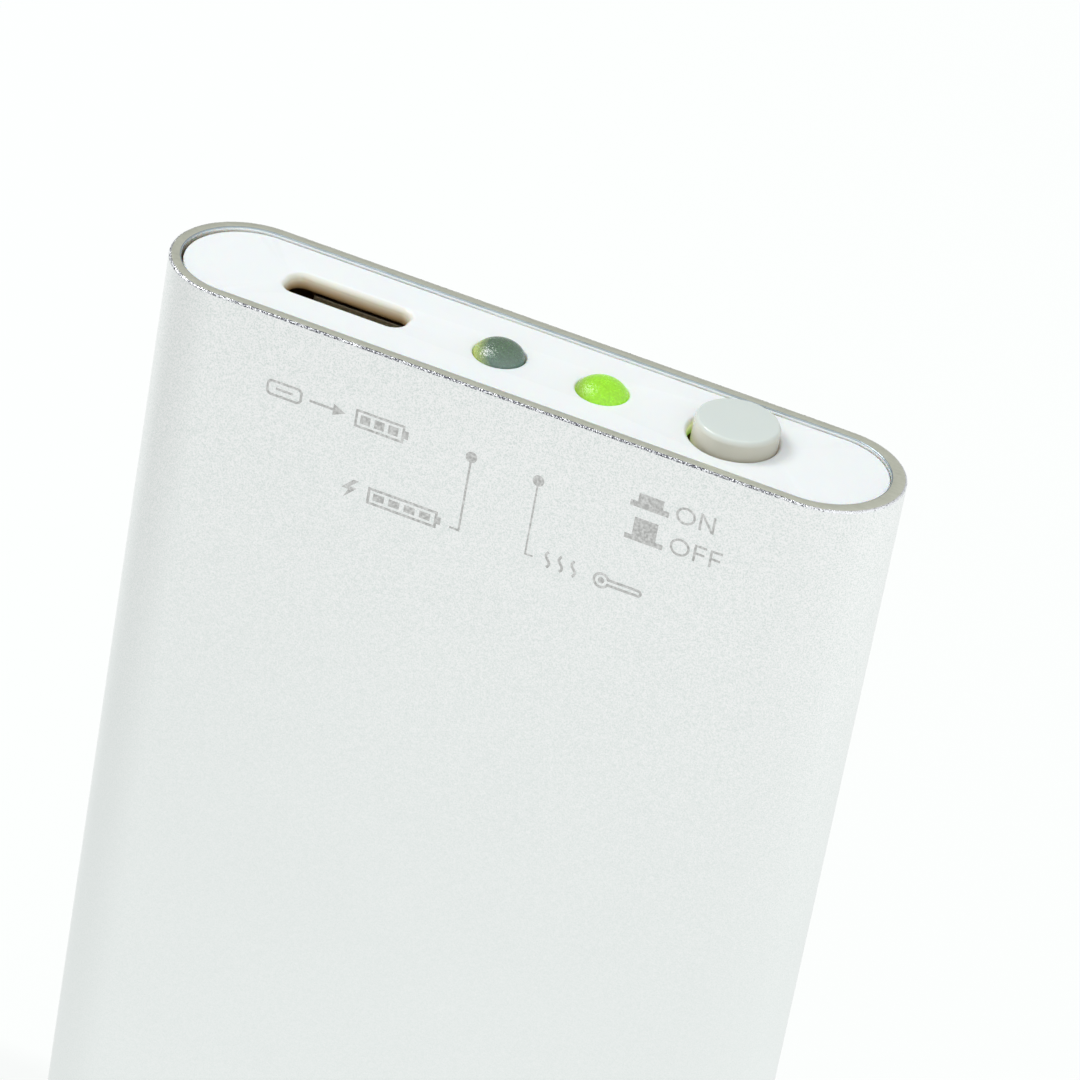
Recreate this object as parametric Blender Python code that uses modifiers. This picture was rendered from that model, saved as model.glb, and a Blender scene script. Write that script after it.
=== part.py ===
"""Rechargeable pocket hand warmer, standing upright with its control end up.

Metres, +Z along the body, +X across its width, the printed face towards -Y.
The origin is the centre of the lower rim. The button is latched in, as it is while warming.
"""
import math

import bmesh
import bpy
from mathutils import Matrix, Vector

MM = 0.001

# Body and sleeve
BODY_WIDTH = 44.0 * MM
BODY_THICKNESS = 9.1 * MM
BODY_LENGTH = 98.0 * MM
SLEEVE_WALL = 0.7 * MM
RIM_CHAMFER = 0.1 * MM

# Clearances
CAP_CLEARANCE = 0.1 * MM
FRAME_CLEARANCE = 0.1 * MM
SEAT_GAP = 0.05 * MM
RUNNING_GAP = 0.15 * MM
CUT_OVERRUN = 1.0 * MM

# End caps
CAP_RECESS = 0.2 * MM
CAP_PLATE = 1.05 * MM
CAP_SKIRT_WALL = 0.6 * MM
CAP_SKIRT_DEPTH = 2.6 * MM
CAP_EDGE_RADIUS = 0.15 * MM

# Charging socket
USB_X_SHARE = -0.2545
SLOT_WIDTH = 7.6 * MM
SLOT_HEIGHT = 2.4 * MM
SLOT_CORNER_SHARE = 0.42
USB_SHELL_WIDTH = 7.4 * MM
USB_NARROW_SHARE = 0.77
USB_CHAMFER_SHARE = 0.45
USB_SHELL_HEIGHT = 2.45 * MM
USB_SHELL_LENGTH = 5.2 * MM
USB_SHEET = 0.25 * MM
USB_LIP_FLARE = 0.25 * MM
USB_LIP_LENGTH = 0.4 * MM
USB_MOUTH_GAP = 0.15 * MM
TONGUE_WIDTH_SHARE = 0.5
TONGUE_THICKNESS = 0.6 * MM
TONGUE_SETBACK = 0.6 * MM
USB_BLOCK_LENGTH = 1.5 * MM
CONTACT_COUNT = 5
CONTACT_PITCH = 0.65 * MM
CONTACT_WIDTH = 0.3 * MM
CONTACT_SHEET = 0.12 * MM
CONTACT_FOOT = 0.9 * MM
CONTACT_SETBACK = 0.4 * MM
CONTACT_TAIL_DROP = 0.2 * MM

# Indicator lamps
CHARGING_LAMP_X_SHARE = -0.0466
WARMING_LAMP_X_SHARE = 0.0948
LAMP_DIAMETER = 3.0 * MM
LAMP_LENGTH = 5.3 * MM
LAMP_FLANGE_DIAMETER = 3.8 * MM
LAMP_FLANGE_HEIGHT = 1.0 * MM
LAMP_DOME_DEPTH = 0.75 * MM
LAMP_HOLE_CLEARANCE = 0.2 * MM
COLLAR_WALL = 0.6 * MM
COLLAR_FLANGE_GAP = 0.5 * MM
LEAD_DIAMETER = 0.5 * MM
LEAD_PITCH = 2.54 * MM
LEAD_DROP = 2.2 * MM
LEAD_BEND = 0.6 * MM
SOLDER_STUB_SHARE = 0.667

# Button
BUTTON_X_SHARE = 0.275
BUTTON_DIAMETER = 4.8 * MM
BUTTON_PROUD = 0.95 * MM
BUTTON_EDGE_RADIUS = 0.4 * MM
BUTTON_HOLE_CLEARANCE = 0.35 * MM
BUTTON_FLANGE_WIDTH = 7.4 * MM
BUTTON_FLANGE_THICKNESS = 0.6 * MM
BUTTON_FLANGE_SIDE_GAP = 0.5 * MM
BUTTON_TRAVEL = 1.5 * MM
BUTTON_OVERTRAVEL = 0.5 * MM
BUTTON_STOP_GAP = 0.25 * MM
SHAFT_SOCKET_ROOF = 2.3 * MM

# Latching switch
SWITCH_WIDTH = 7.0 * MM
SWITCH_LENGTH = 8.0 * MM
SWITCH_FRONT_ROOM = 1.225 * MM
SWITCH_ROOF = 0.8 * MM
SHAFT_WIDTH = 2.0 * MM
PLUNGER_WIDTH = 2.6 * MM
PLUNGER_LENGTH = 4.2 * MM
GROOVE_WIDTH = 0.8 * MM
GROOVE_DEPTH = 0.6 * MM
SPRING_LENGTH = 4.8 * MM
SPRING_WIRE = 0.35 * MM
SPRING_SHAFT_GAP = 0.336 * MM
SPRING_TURNS = 5
LATCH_WIRE = 0.4 * MM
LATCH_ANCHOR_DEPTH_SHARE = 0.68
LATCH_STANDOFF = 0.2 * MM
SWITCH_PIN_WIDTH = 0.6 * MM
SWITCH_PIN_SHEET = 0.3 * MM
SWITCH_PIN_PITCH = 2.5 * MM
SWITCH_PIN_ROOT = 1.0 * MM
SWITCH_PIN_COLUMN_SHARE = 0.32

# Inner frame
FRAME_RAIL = 2.9 * MM
FRAME_FOOT = 3.0 * MM
CROSSBAR = 2.0 * MM
CROSSBAR_FRONT = 0.9 * MM
WEB_THICKNESS = 0.775 * MM
BOSS_DIAMETER = 2.8 * MM

# Circuit board
BOARD_THICKNESS = 0.8 * MM
BOARD_EDGE_GAP = 0.2 * MM
BOARD_SEAT = 0.4 * MM
BOARD_USB_MARGIN = 1.0 * MM
BOARD_USB_SETBACK = 1.0 * MM
BOARD_HOLE_CLEARANCE = 0.2 * MM
BOARD_SPRING_GAP = 0.6 * MM

# Board screws
SCREW_X_SHARE = 0.9
SCREW_HEIGHT = 5.1 * MM
SCREW_SWITCH_GAP = 0.8 * MM
SCREW_DIAMETER = 1.5 * MM
SCREW_END_SETBACK = 0.525 * MM
SCREW_HEAD_DIAMETER = 2.8 * MM
SCREW_HEAD_HEIGHT = 0.7 * MM
SCREW_RECESS_WIDTH = 0.35 * MM
SCREW_RECESS_DEPTH = 0.35 * MM
SCREW_HOLE_CLEARANCE = 0.1 * MM

# Battery, heaters and foam
BATTERY_WINDOW_MARGIN = 0.55 * MM
BATTERY_SIDE_GAP = 0.3 * MM
BATTERY_FOOT_GAP = 0.4 * MM
BATTERY_HEAD_ROOM = 4.0 * MM
BATTERY_EDGE_RADIUS = 1.2 * MM
FILM_THICKNESS = 0.2 * MM
FILM_SIDE_GAP = 0.15 * MM
FILM_HEAD_GAP = 0.4 * MM
FOAM_THICKNESS = 0.8 * MM
FOAM_END_GAP = 0.5 * MM
BATTERY_BOARD_INSET = 4.7 * MM
BATTERY_BOARD_HEIGHT = 2.8 * MM
BATTERY_BOARD_SHEET = 0.8 * MM
BATTERY_BOARD_GAP = 0.5 * MM
TAB_WIDTH = 3.0 * MM
TAB_SHEET = 0.15 * MM
TAB_X_SHARE = 0.7
TAB_OVERLAP_SHARE = 0.8
SENSOR_LENGTH = 2.4 * MM
SENSOR_CHANNEL = 2.4 * MM
SENSOR_HEIGHT_SHARE = 0.86

# Wires
WIRE_BEND = 0.9 * MM
BATTERY_WIRE = 1.0 * MM
BATTERY_WIRE_X_SHARE = 0.3
HEATER_WIRE = 0.7 * MM
HEATER_WIRE_PLACE_SHARES = (0.235, 0.635)
SENSOR_WIRE = 0.3 * MM
SENSOR_WIRE_ROOT_SHARE = 1.2
SENSOR_WIRE_SPACING = 0.8 * MM
WIRE_FRONT_ROOM = 1.5 * MM
WIRE_PAD_HEIGHT = 1.4 * MM
SENSOR_PAD_HEIGHT = 2.6 * MM

# Components on the board
CHIP_WIDTH = 3.9 * MM
CHIP_LENGTH = 4.9 * MM
CHIP_HEIGHT = 1.5 * MM
CHIP_LEG_SPAN = 6.0 * MM
CHIP_LEG_WIDTH = 0.4 * MM
CHIP_LEG_SHEET = 0.15 * MM
CHIP_LEG_PITCH = 1.27 * MM
CHIP_LEG_ROWS = 4
RESISTOR_SIZE = (2.0 * MM, 0.5 * MM, 1.25 * MM)
CAPACITOR_SIZE = (3.2 * MM, 1.1 * MM, 1.6 * MM)
CHIP_GAP = 0.8 * MM
SMALL_PART_GAP = 0.7 * MM
CHIP_HEIGHT_SHARE = 0.47
RESISTOR_HEIGHT_SHARES = (0.33, 0.47, 0.61)
TOP_RESISTOR_HEIGHT_SHARE = 0.76
CAPACITOR_HEIGHT_SHARES = (0.42, 0.56, 0.7)
FOAM_BLOCK_HEIGHT_SHARES = (0.23, 0.86)

# Welding and fineness of the round shapes
WELD_DISTANCE = 0.001 * MM
ARC_STEPS = 14
HOLE_SIDES = 20
LAMP_SIDES = 24
DOME_STEPS = 7
BUTTON_SIDES = 36
SMALL_SIDES = 10
COIL_STEPS = 12
BEND_STEPS = 3

# Places worked out from the sizes above
SLEEVE_BORE_WIDTH = BODY_WIDTH - 2 * SLEEVE_WALL
SLEEVE_BORE = BODY_THICKNESS - 2 * SLEEVE_WALL
BORE_HALF = SLEEVE_BORE / 2
FLAT_HALF_WIDTH = SLEEVE_BORE_WIDTH / 2 - BORE_HALF
FRAME_HALF = BORE_HALF - FRAME_CLEARANCE
CAP_FACE_Z = BODY_LENGTH - CAP_RECESS
CAP_UNDERSIDE_Z = CAP_FACE_Z - CAP_PLATE
FRAME_BOTTOM_Z = CAP_RECESS + CAP_PLATE + CAP_SKIRT_DEPTH + FRAME_CLEARANCE
FRAME_TOP_Z = CAP_UNDERSIDE_Z - CAP_SKIRT_DEPTH - FRAME_CLEARANCE

USB_X = USB_X_SHARE * BODY_WIDTH
CHARGING_LAMP_X = CHARGING_LAMP_X_SHARE * BODY_WIDTH
WARMING_LAMP_X = WARMING_LAMP_X_SHARE * BODY_WIDTH
BUTTON_X = BUTTON_X_SHARE * BODY_WIDTH

LAMP_TOP_Z = CAP_FACE_Z - LAMP_DOME_DEPTH + LAMP_DIAMETER / 2
LAMP_BOTTOM_Z = LAMP_TOP_Z - LAMP_LENGTH
LEAD_BEND_Z = LAMP_BOTTOM_Z - LEAD_DROP
COLLAR_BOTTOM_Z = LAMP_BOTTOM_Z + LAMP_FLANGE_HEIGHT + COLLAR_FLANGE_GAP

BOARD_FRONT_Y = USB_SHELL_HEIGHT / 2 + SEAT_GAP
BOARD_BACK_Y = BOARD_FRONT_Y + BOARD_THICKNESS
BOARD_TOP_Z = LEAD_BEND_Z + LEAD_DIAMETER / 2 + BOARD_HOLE_CLEARANCE + BOARD_USB_MARGIN
BAY_HALF_WIDTH = SLEEVE_BORE_WIDTH / 2 - FRAME_CLEARANCE - FRAME_RAIL
BOARD_HALF_WIDTH = BAY_HALF_WIDTH - BOARD_EDGE_GAP
WEB_FRONT_Y = FRAME_HALF - WEB_THICKNESS
STUB_END_Y = BOARD_BACK_Y + (WEB_FRONT_Y - BOARD_BACK_Y) * SOLDER_STUB_SHARE

USB_MOUTH_Z = CAP_UNDERSIDE_Z - USB_MOUTH_GAP
USB_BACK_Z = USB_MOUTH_Z - USB_SHELL_LENGTH

BUTTON_TOP_Z = BODY_LENGTH + BUTTON_PROUD
FLANGE_TOP_Z = CAP_UNDERSIDE_Z - BUTTON_STOP_GAP - BUTTON_TRAVEL
FLANGE_BOTTOM_Z = FLANGE_TOP_Z - BUTTON_FLANGE_THICKNESS
SWITCH_TOP_Z = FLANGE_BOTTOM_Z - SPRING_LENGTH
SWITCH_BOTTOM_Z = SWITCH_TOP_Z - SWITCH_LENGTH
SWITCH_BACK_Y = BOARD_FRONT_Y
SWITCH_FRONT_Y = SWITCH_FRONT_ROOM - BORE_HALF
PLUNGER_TOP_Z = SWITCH_TOP_Z - SWITCH_ROOF - RUNNING_GAP - BUTTON_TRAVEL
PLUNGER_BOTTOM_Z = PLUNGER_TOP_Z - PLUNGER_LENGTH
SHAFT_SOCKET_TOP_Z = BUTTON_TOP_Z - SHAFT_SOCKET_ROOF
GROOVE_MIDDLE_Z = (PLUNGER_TOP_Z + PLUNGER_BOTTOM_Z) / 2
LATCH_LEG_Z = GROOVE_MIDDLE_Z + (BUTTON_TRAVEL - BUTTON_OVERTRAVEL) / 2
SHAFT_HOLE_HALF = SHAFT_WIDTH / 2 + RUNNING_GAP
LATCH_ANCHOR_Y = SWITCH_FRONT_Y + (-SHAFT_HOLE_HALF - SWITCH_FRONT_Y) * LATCH_ANCHOR_DEPTH_SHARE
SPRING_RADIUS = math.hypot(SHAFT_WIDTH, SHAFT_WIDTH) / 2 + SPRING_SHAFT_GAP + SPRING_WIRE

SCREW_Z = SWITCH_BOTTOM_Z - SCREW_SWITCH_GAP - SCREW_HEAD_DIAMETER / 2
BOARD_BOTTOM_Z = SCREW_Z - SCREW_HEIGHT
BOARD_HEIGHT = BOARD_TOP_Z - BOARD_BOTTOM_Z
CROSSBAR_TOP_Z = BOARD_BOTTOM_Z - BOARD_SEAT
CROSSBAR_BOTTOM_Z = CROSSBAR_TOP_Z - CROSSBAR
TRANSISTOR_X = BUTTON_X - SWITCH_WIDTH / 2 - CHIP_GAP - CHIP_LEG_SPAN / 2
CHARGE_CHIP_X = TRANSISTOR_X - CHIP_LEG_SPAN - CHIP_GAP
RESISTOR_X = CHARGE_CHIP_X - CHIP_LEG_SPAN / 2 - SMALL_PART_GAP - RESISTOR_SIZE[0] / 2
CAPACITOR_X = RESISTOR_X - RESISTOR_SIZE[0] / 2 - SMALL_PART_GAP - CAPACITOR_SIZE[0] / 2

WINDOW_HALF_WIDTH = FLAT_HALF_WIDTH + BATTERY_WINDOW_MARGIN
WINDOW_BOTTOM_Z = FRAME_BOTTOM_Z + FRAME_FOOT
BATTERY_WIDTH = 2 * (WINDOW_HALF_WIDTH - BATTERY_SIDE_GAP)
BATTERY_BOTTOM_Z = WINDOW_BOTTOM_Z + BATTERY_FOOT_GAP
BATTERY_TOP_Z = CROSSBAR_BOTTOM_Z - BATTERY_HEAD_ROOM
FILM_OUTER_Y = BORE_HALF - SEAT_GAP
FILM_INNER_Y = FILM_OUTER_Y - FILM_THICKNESS
FILM_TOP_Z = CROSSBAR_BOTTOM_Z - FILM_HEAD_GAP
FOAM_OUTER_Y = FILM_INNER_Y - SEAT_GAP
FOAM_INNER_Y = FOAM_OUTER_Y - FOAM_THICKNESS
BATTERY_THICKNESS = 2 * (FOAM_INNER_Y - SEAT_GAP)
SENSOR_DIAMETER = FOAM_THICKNESS
FILM_HALF_WIDTH = FLAT_HALF_WIDTH - FILM_SIDE_GAP
BATTERY_BOARD_HALF_WIDTH = BATTERY_WIDTH / 2 - BATTERY_BOARD_INSET
BATTERY_BOARD_BOTTOM_Z = BATTERY_TOP_Z + BATTERY_BOARD_GAP
BATTERY_BOARD_TOP_Z = BATTERY_BOARD_BOTTOM_Z + BATTERY_BOARD_HEIGHT
WIRE_START_Z = (BATTERY_BOARD_BOTTOM_Z + BATTERY_BOARD_TOP_Z) / 2
WIRE_PAD_Z = BOARD_BOTTOM_Z + WIRE_PAD_HEIGHT
SENSOR_PAD_Z = BOARD_BOTTOM_Z + SENSOR_PAD_HEIGHT


def clear_scene():
    """Empty the scene of whatever it started with."""
    for leftover in list(bpy.data.objects):
        bpy.data.objects.remove(leftover, do_unlink=True)


def new_collection(name):
    """Make a collection under the scene's own."""
    collection = bpy.data.collections.new(name)
    bpy.context.scene.collection.children.link(collection)
    return collection


clear_scene()
PARTS = new_collection("hand_warmer")
CUTTERS = new_collection("cutters")


def make_material(name, colour, roughness, metallic=0.0):
    """A Principled material of one colour."""
    material = bpy.data.materials.new(name)
    material.use_nodes = True
    shader = material.node_tree.nodes["Principled BSDF"]
    shader.inputs["Base Color"].default_value = (*colour, 1.0)
    shader.inputs["Roughness"].default_value = roughness
    shader.inputs["Metallic"].default_value = metallic
    return material


def object_from_bmesh(name, shape, location, collection=PARTS):
    """Turn a bmesh into an object at a location."""
    mesh = bpy.data.meshes.new(name)
    shape.to_mesh(mesh)
    shape.free()
    result = bpy.data.objects.new(name, mesh)
    result.location = location
    collection.objects.link(result)
    return result


def add_box(name, low, high, collection=PARTS):
    """A box between two corners, with its origin at its centre."""
    shape = bmesh.new()
    bmesh.ops.create_cube(shape, size=1.0)
    bmesh.ops.scale(shape, vec=Vector(high) - Vector(low), verts=shape.verts)
    return object_from_bmesh(name, shape, (Vector(low) + Vector(high)) / 2, collection)


def add_cylinder(name, radius, low, high, axis="Z", sides=HOLE_SIDES, collection=PARTS):
    """A cylinder between two points that differ along one axis, with a flat towards +X."""
    start, end = Vector(low), Vector(high)
    shape = bmesh.new()
    bmesh.ops.create_cone(
        shape,
        cap_ends=True,
        segments=sides,
        radius1=radius,
        radius2=radius,
        depth=(end - start).length,
        matrix=Matrix.Rotation(math.pi / sides, 4, "Z"),
    )
    result = object_from_bmesh(name, shape, (start + end) / 2, collection)
    if axis == "Y":
        result.rotation_euler = (math.pi / 2, 0.0, 0.0)
    return result


def add_turned(name, profile, location, sides):
    """A solid turned about Z from (radius, height) points listed from top to bottom."""
    shape = bmesh.new()
    points = [shape.verts.new((radius, 0.0, height)) for radius, height in profile]
    for start, end in zip(points, points[1:]):
        shape.edges.new((start, end))
    result = object_from_bmesh(name, shape, location)
    screw = result.modifiers.new("turn", "SCREW")
    screw.steps = sides
    screw.render_steps = sides
    screw.use_merge_vertices = True
    screw.merge_threshold = WELD_DISTANCE
    return result


def mesh_from_curve(curve_object, collection=PARTS):
    """Replace a curve object by the mesh of what it shows, with its caps welded."""
    bpy.context.view_layer.update()
    evaluated = curve_object.evaluated_get(bpy.context.evaluated_depsgraph_get())
    mesh = bpy.data.meshes.new_from_object(evaluated)
    shape = bmesh.new()
    shape.from_mesh(mesh)
    bmesh.ops.remove_doubles(shape, verts=shape.verts, dist=WELD_DISTANCE)
    shape.to_mesh(mesh)
    shape.free()
    name = curve_object.name
    matrix = curve_object.matrix_world.copy()
    bpy.data.objects.remove(curve_object, do_unlink=True)
    result = bpy.data.objects.new(name, mesh)
    result.matrix_world = matrix
    collection.objects.link(result)
    return result


def add_prism(name, outline, low, high, plane="XY", edge_radius=0.0, collection=PARTS):
    """Extrude a flat outline between two distances from its plane.

    In plane XZ the outline's points are (x, z) and the distances run along Y; in YZ the points
    are (y, z) and the distances run along X.
    """
    curve = bpy.data.curves.new(name, "CURVE")
    curve.dimensions = "2D"
    curve.fill_mode = "BOTH"
    curve.extrude = (high - low) / 2 - edge_radius
    curve.bevel_depth = edge_radius
    curve.bevel_resolution = 1
    curve.offset = -edge_radius
    spline = curve.splines.new("POLY")
    spline.points.add(len(outline) - 1)
    for point, (across, along) in zip(spline.points, outline):
        point.co = (across, along, 0.0, 1.0)
    spline.use_cyclic_u = True
    flat = bpy.data.objects.new(name, curve)
    middle = (low + high) / 2
    if plane == "XY":
        flat.location = (0.0, 0.0, middle)
    elif plane == "XZ":
        flat.location = (0.0, middle, 0.0)
        flat.rotation_euler = (math.pi / 2, 0.0, 0.0)
    else:
        flat.location = (middle, 0.0, 0.0)
        flat.rotation_euler = (math.pi / 2, 0.0, math.pi / 2)
    collection.objects.link(flat)
    return mesh_from_curve(flat, collection)


def rounded_route(points, bend):
    """Points of a route whose corners are turned with arcs of one radius."""
    route = [Vector(points[0])]
    for before, corner, after in zip(points, points[1:], points[2:]):
        corner = Vector(corner)
        towards = (Vector(before) - corner).normalized()
        away = (Vector(after) - corner).normalized()
        half_angle = towards.angle(away) / 2
        centre = corner + (towards + away).normalized() * (bend / math.sin(half_angle))
        start = (corner + towards * (bend / math.tan(half_angle)) - centre).normalized()
        end = (corner + away * (bend / math.tan(half_angle)) - centre).normalized()
        for step in range(BEND_STEPS + 1):
            route.append(centre + start.slerp(end, step / BEND_STEPS) * bend)
    route.append(Vector(points[-1]))
    return route


def add_wire(name, points, diameter, bend):
    """A round wire along a route with turned corners."""
    curve = bpy.data.curves.new(name, "CURVE")
    curve.dimensions = "3D"
    curve.bevel_depth = diameter / 2
    curve.bevel_resolution = 2
    curve.use_fill_caps = True
    spline = curve.splines.new("POLY")
    route = rounded_route(points, bend)
    spline.points.add(len(route) - 1)
    for point, place in zip(spline.points, route):
        point.co = (*place, 1.0)
    wire = bpy.data.objects.new(name, curve)
    PARTS.objects.link(wire)
    return mesh_from_curve(wire)


def arc(centre, radius, start_degrees, end_degrees, steps):
    """Points along an arc, both ends included."""
    sweep = end_degrees - start_degrees
    angles = [math.radians(start_degrees + sweep * step / steps) for step in range(steps + 1)]
    return [(centre[0] + radius * math.cos(turn), centre[1] + radius * math.sin(turn)) for turn in angles]


def stadium(width, thickness):
    """An outline with two straight sides and half-round ends."""
    radius = thickness / 2
    reach = width / 2 - radius
    return arc((reach, 0.0), radius, -90, 90, ARC_STEPS) + arc((-reach, 0.0), radius, 90, 270, ARC_STEPS)


def rounded_rectangle(middle, width, height, radius, steps=4):
    """A rectangle with rounded corners, anticlockwise from its lower right corner."""
    reach, rise = width / 2 - radius, height / 2 - radius
    corners = ((reach, -rise, -90), (reach, rise, 0), (-reach, rise, 90), (-reach, -rise, 180))
    outline = []
    for across, along, turn in corners:
        outline += arc((middle[0] + across, middle[1] + along), radius, turn, turn + 90, steps)
    return outline


def socket_outline(inset):
    """The socket's section: wide towards the printed face, chamfered towards the board."""
    half_wide = USB_SHELL_WIDTH / 2
    half_narrow = half_wide * USB_NARROW_SHARE
    half_height = USB_SHELL_HEIGHT / 2
    shoulder = half_height - USB_SHELL_HEIGHT * USB_CHAMFER_SHARE
    slope = math.hypot(half_wide - half_narrow, half_height - shoulder)
    lean = (half_height - shoulder + slope) / (half_wide - half_narrow)
    corner = inset / lean if inset else 0.0
    outline = [
        (half_wide - inset, -half_height + inset),
        (half_wide - inset, shoulder - corner),
        (half_narrow - corner, half_height - inset),
    ]
    mirrored = [(-across, along) for across, along in reversed(outline)]
    return [(USB_X + across, along) for across, along in outline + mirrored]


def boolean(target, tool, operation):
    """Cut or join a target with a tool, which goes among the cutters."""
    for collection in list(tool.users_collection):
        collection.objects.unlink(tool)
    CUTTERS.objects.link(tool)
    tool.hide_render = True
    tool.display_type = "WIRE"
    modifier = target.modifiers.new(tool.name, "BOOLEAN")
    modifier.operation = operation
    modifier.solver = "EXACT"
    modifier.object = tool
    return target


def cut(target, tool):
    """Take a tool's shape out of a target."""
    return boolean(target, tool, "DIFFERENCE")


def join(target, tool):
    """Add a tool's shape to a target."""
    return boolean(target, tool, "UNION")


def finish(part, material, parent):
    """Give a part its material, smooth its round faces and hang it on its parent."""
    part.data.materials.clear()
    part.data.materials.append(material)
    part.data.shade_smooth()
    part.data.set_sharp_from_angle(angle=math.radians(35))
    part.location = part.location - parent.location
    part.parent = parent
    return part


def add_empty(name, location):
    """A parent that shows where a group of parts sits."""
    empty = bpy.data.objects.new(name, None)
    empty.location = location
    PARTS.objects.link(empty)
    return empty


ALUMINIUM = make_material("satin_aluminium", (0.78, 0.8, 0.79), 0.42, 1.0)
WHITE = make_material("white_plastic", (0.86, 0.89, 0.89), 0.18)
GREY = make_material("light_grey_plastic", (0.62, 0.65, 0.62), 0.2)
LAMP_GREEN = make_material("lit_green_lamp", (0.4, 0.8, 0.06), 0.35)
LAMP_OLIVE = make_material("unlit_green_lamp", (0.2, 0.27, 0.2), 0.35)
STEEL = make_material("plated_steel", (0.62, 0.61, 0.57), 0.3, 1.0)
TINNED = make_material("tinned_copper", (0.75, 0.74, 0.7), 0.35, 1.0)
GOLD = make_material("gold_plate", (0.83, 0.62, 0.27), 0.3, 1.0)
BLACK = make_material("black_plastic", (0.02, 0.02, 0.02), 0.45)
NATURAL = make_material("natural_plastic", (0.72, 0.72, 0.68), 0.5)
BOARD_GREEN = make_material("board_green", (0.03, 0.2, 0.09), 0.35)
POUCH = make_material("battery_pouch", (0.7, 0.71, 0.72), 0.35)
KAPTON = make_material("amber_film", (0.5, 0.24, 0.04), 0.3)
FOAM = make_material("grey_foam", (0.2, 0.2, 0.21), 0.9)
RED_WIRE = make_material("red_insulation", (0.55, 0.03, 0.02), 0.45)
BLACK_WIRE = make_material("black_insulation", (0.02, 0.02, 0.02), 0.45)
WHITE_WIRE = make_material("white_insulation", (0.75, 0.75, 0.72), 0.45)
CERAMIC = make_material("brown_ceramic", (0.35, 0.25, 0.16), 0.4)

BODY = add_empty("body", (0.0, 0.0, 0.0))
BUTTON_AXIS = add_empty("button_axis", (BUTTON_X, 0.0, FLANGE_TOP_Z))


def make_sleeve():
    """The extruded sleeve with chamfered rims."""
    sleeve = add_prism("sleeve", stadium(BODY_WIDTH, BODY_THICKNESS), 0.0, BODY_LENGTH)
    bore = add_prism(
        "sleeve_bore", stadium(SLEEVE_BORE_WIDTH, SLEEVE_BORE), -CUT_OVERRUN, BODY_LENGTH + CUT_OVERRUN
    )
    cut(sleeve, bore)
    chamfer = sleeve.modifiers.new("rim_chamfer", "BEVEL")
    chamfer.width = RIM_CHAMFER
    chamfer.segments = 1
    chamfer.limit_method = "ANGLE"
    chamfer.angle_limit = math.radians(60)
    finish(sleeve, ALUMINIUM, BODY)


def make_cap(name, face_z, inward):
    """A cup-shaped cap: a plate with a skirt, its face at a height and its skirt pointing inward."""
    width = SLEEVE_BORE_WIDTH - 2 * CAP_CLEARANCE
    thickness = SLEEVE_BORE - 2 * CAP_CLEARANCE
    skirt_end = face_z + inward * (CAP_PLATE + CAP_SKIRT_DEPTH)
    low, high = sorted((face_z, skirt_end))
    cap = add_prism(name, stadium(width, thickness), low, high, edge_radius=CAP_EDGE_RADIUS)
    hollow_width = width - 2 * CAP_SKIRT_WALL
    hollow_thickness = thickness - 2 * CAP_SKIRT_WALL
    plate_z = face_z + inward * CAP_PLATE
    low, high = sorted((plate_z, skirt_end + inward * CUT_OVERRUN))
    return cut(cap, add_prism(name + "_hollow", stadium(hollow_width, hollow_thickness), low, high))


def make_top_cap():
    """The control end: slot, two lamp holes with collars, and the button hole."""
    cap = make_cap("top_cap", CAP_FACE_Z, -1)
    hole = LAMP_DIAMETER / 2 + LAMP_HOLE_CLEARANCE
    top_z = CAP_FACE_Z + CUT_OVERRUN
    for label, lamp_x in (("charging", CHARGING_LAMP_X), ("warming", WARMING_LAMP_X)):
        low, high = (lamp_x, 0.0, COLLAR_BOTTOM_Z), (lamp_x, 0.0, CAP_UNDERSIDE_Z + CAP_PLATE / 2)
        join(cap, add_cylinder(label + "_collar", hole + COLLAR_WALL, low, high))
        low = (lamp_x, 0.0, COLLAR_BOTTOM_Z - CUT_OVERRUN)
        cut(cap, add_cylinder(label + "_hole", hole, low, (lamp_x, 0.0, top_z)))
    button_hole = BUTTON_DIAMETER / 2 + BUTTON_HOLE_CLEARANCE
    low = (BUTTON_X, 0.0, CAP_UNDERSIDE_Z - CAP_SKIRT_DEPTH - CUT_OVERRUN)
    cut(cap, add_cylinder("button_hole", button_hole, low, (BUTTON_X, 0.0, top_z), sides=BUTTON_SIDES))
    corner = SLOT_HEIGHT * SLOT_CORNER_SHARE
    slot = rounded_rectangle((USB_X, 0.0), SLOT_WIDTH, SLOT_HEIGHT, corner)
    cut(cap, add_prism("charging_slot", slot, CAP_UNDERSIDE_Z - CAP_PLATE, top_z))
    finish(cap, WHITE, BODY)


def make_bottom_cap():
    """The plain cap at the far end."""
    finish(make_cap("bottom_cap", CAP_RECESS, 1), WHITE, BODY)


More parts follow.
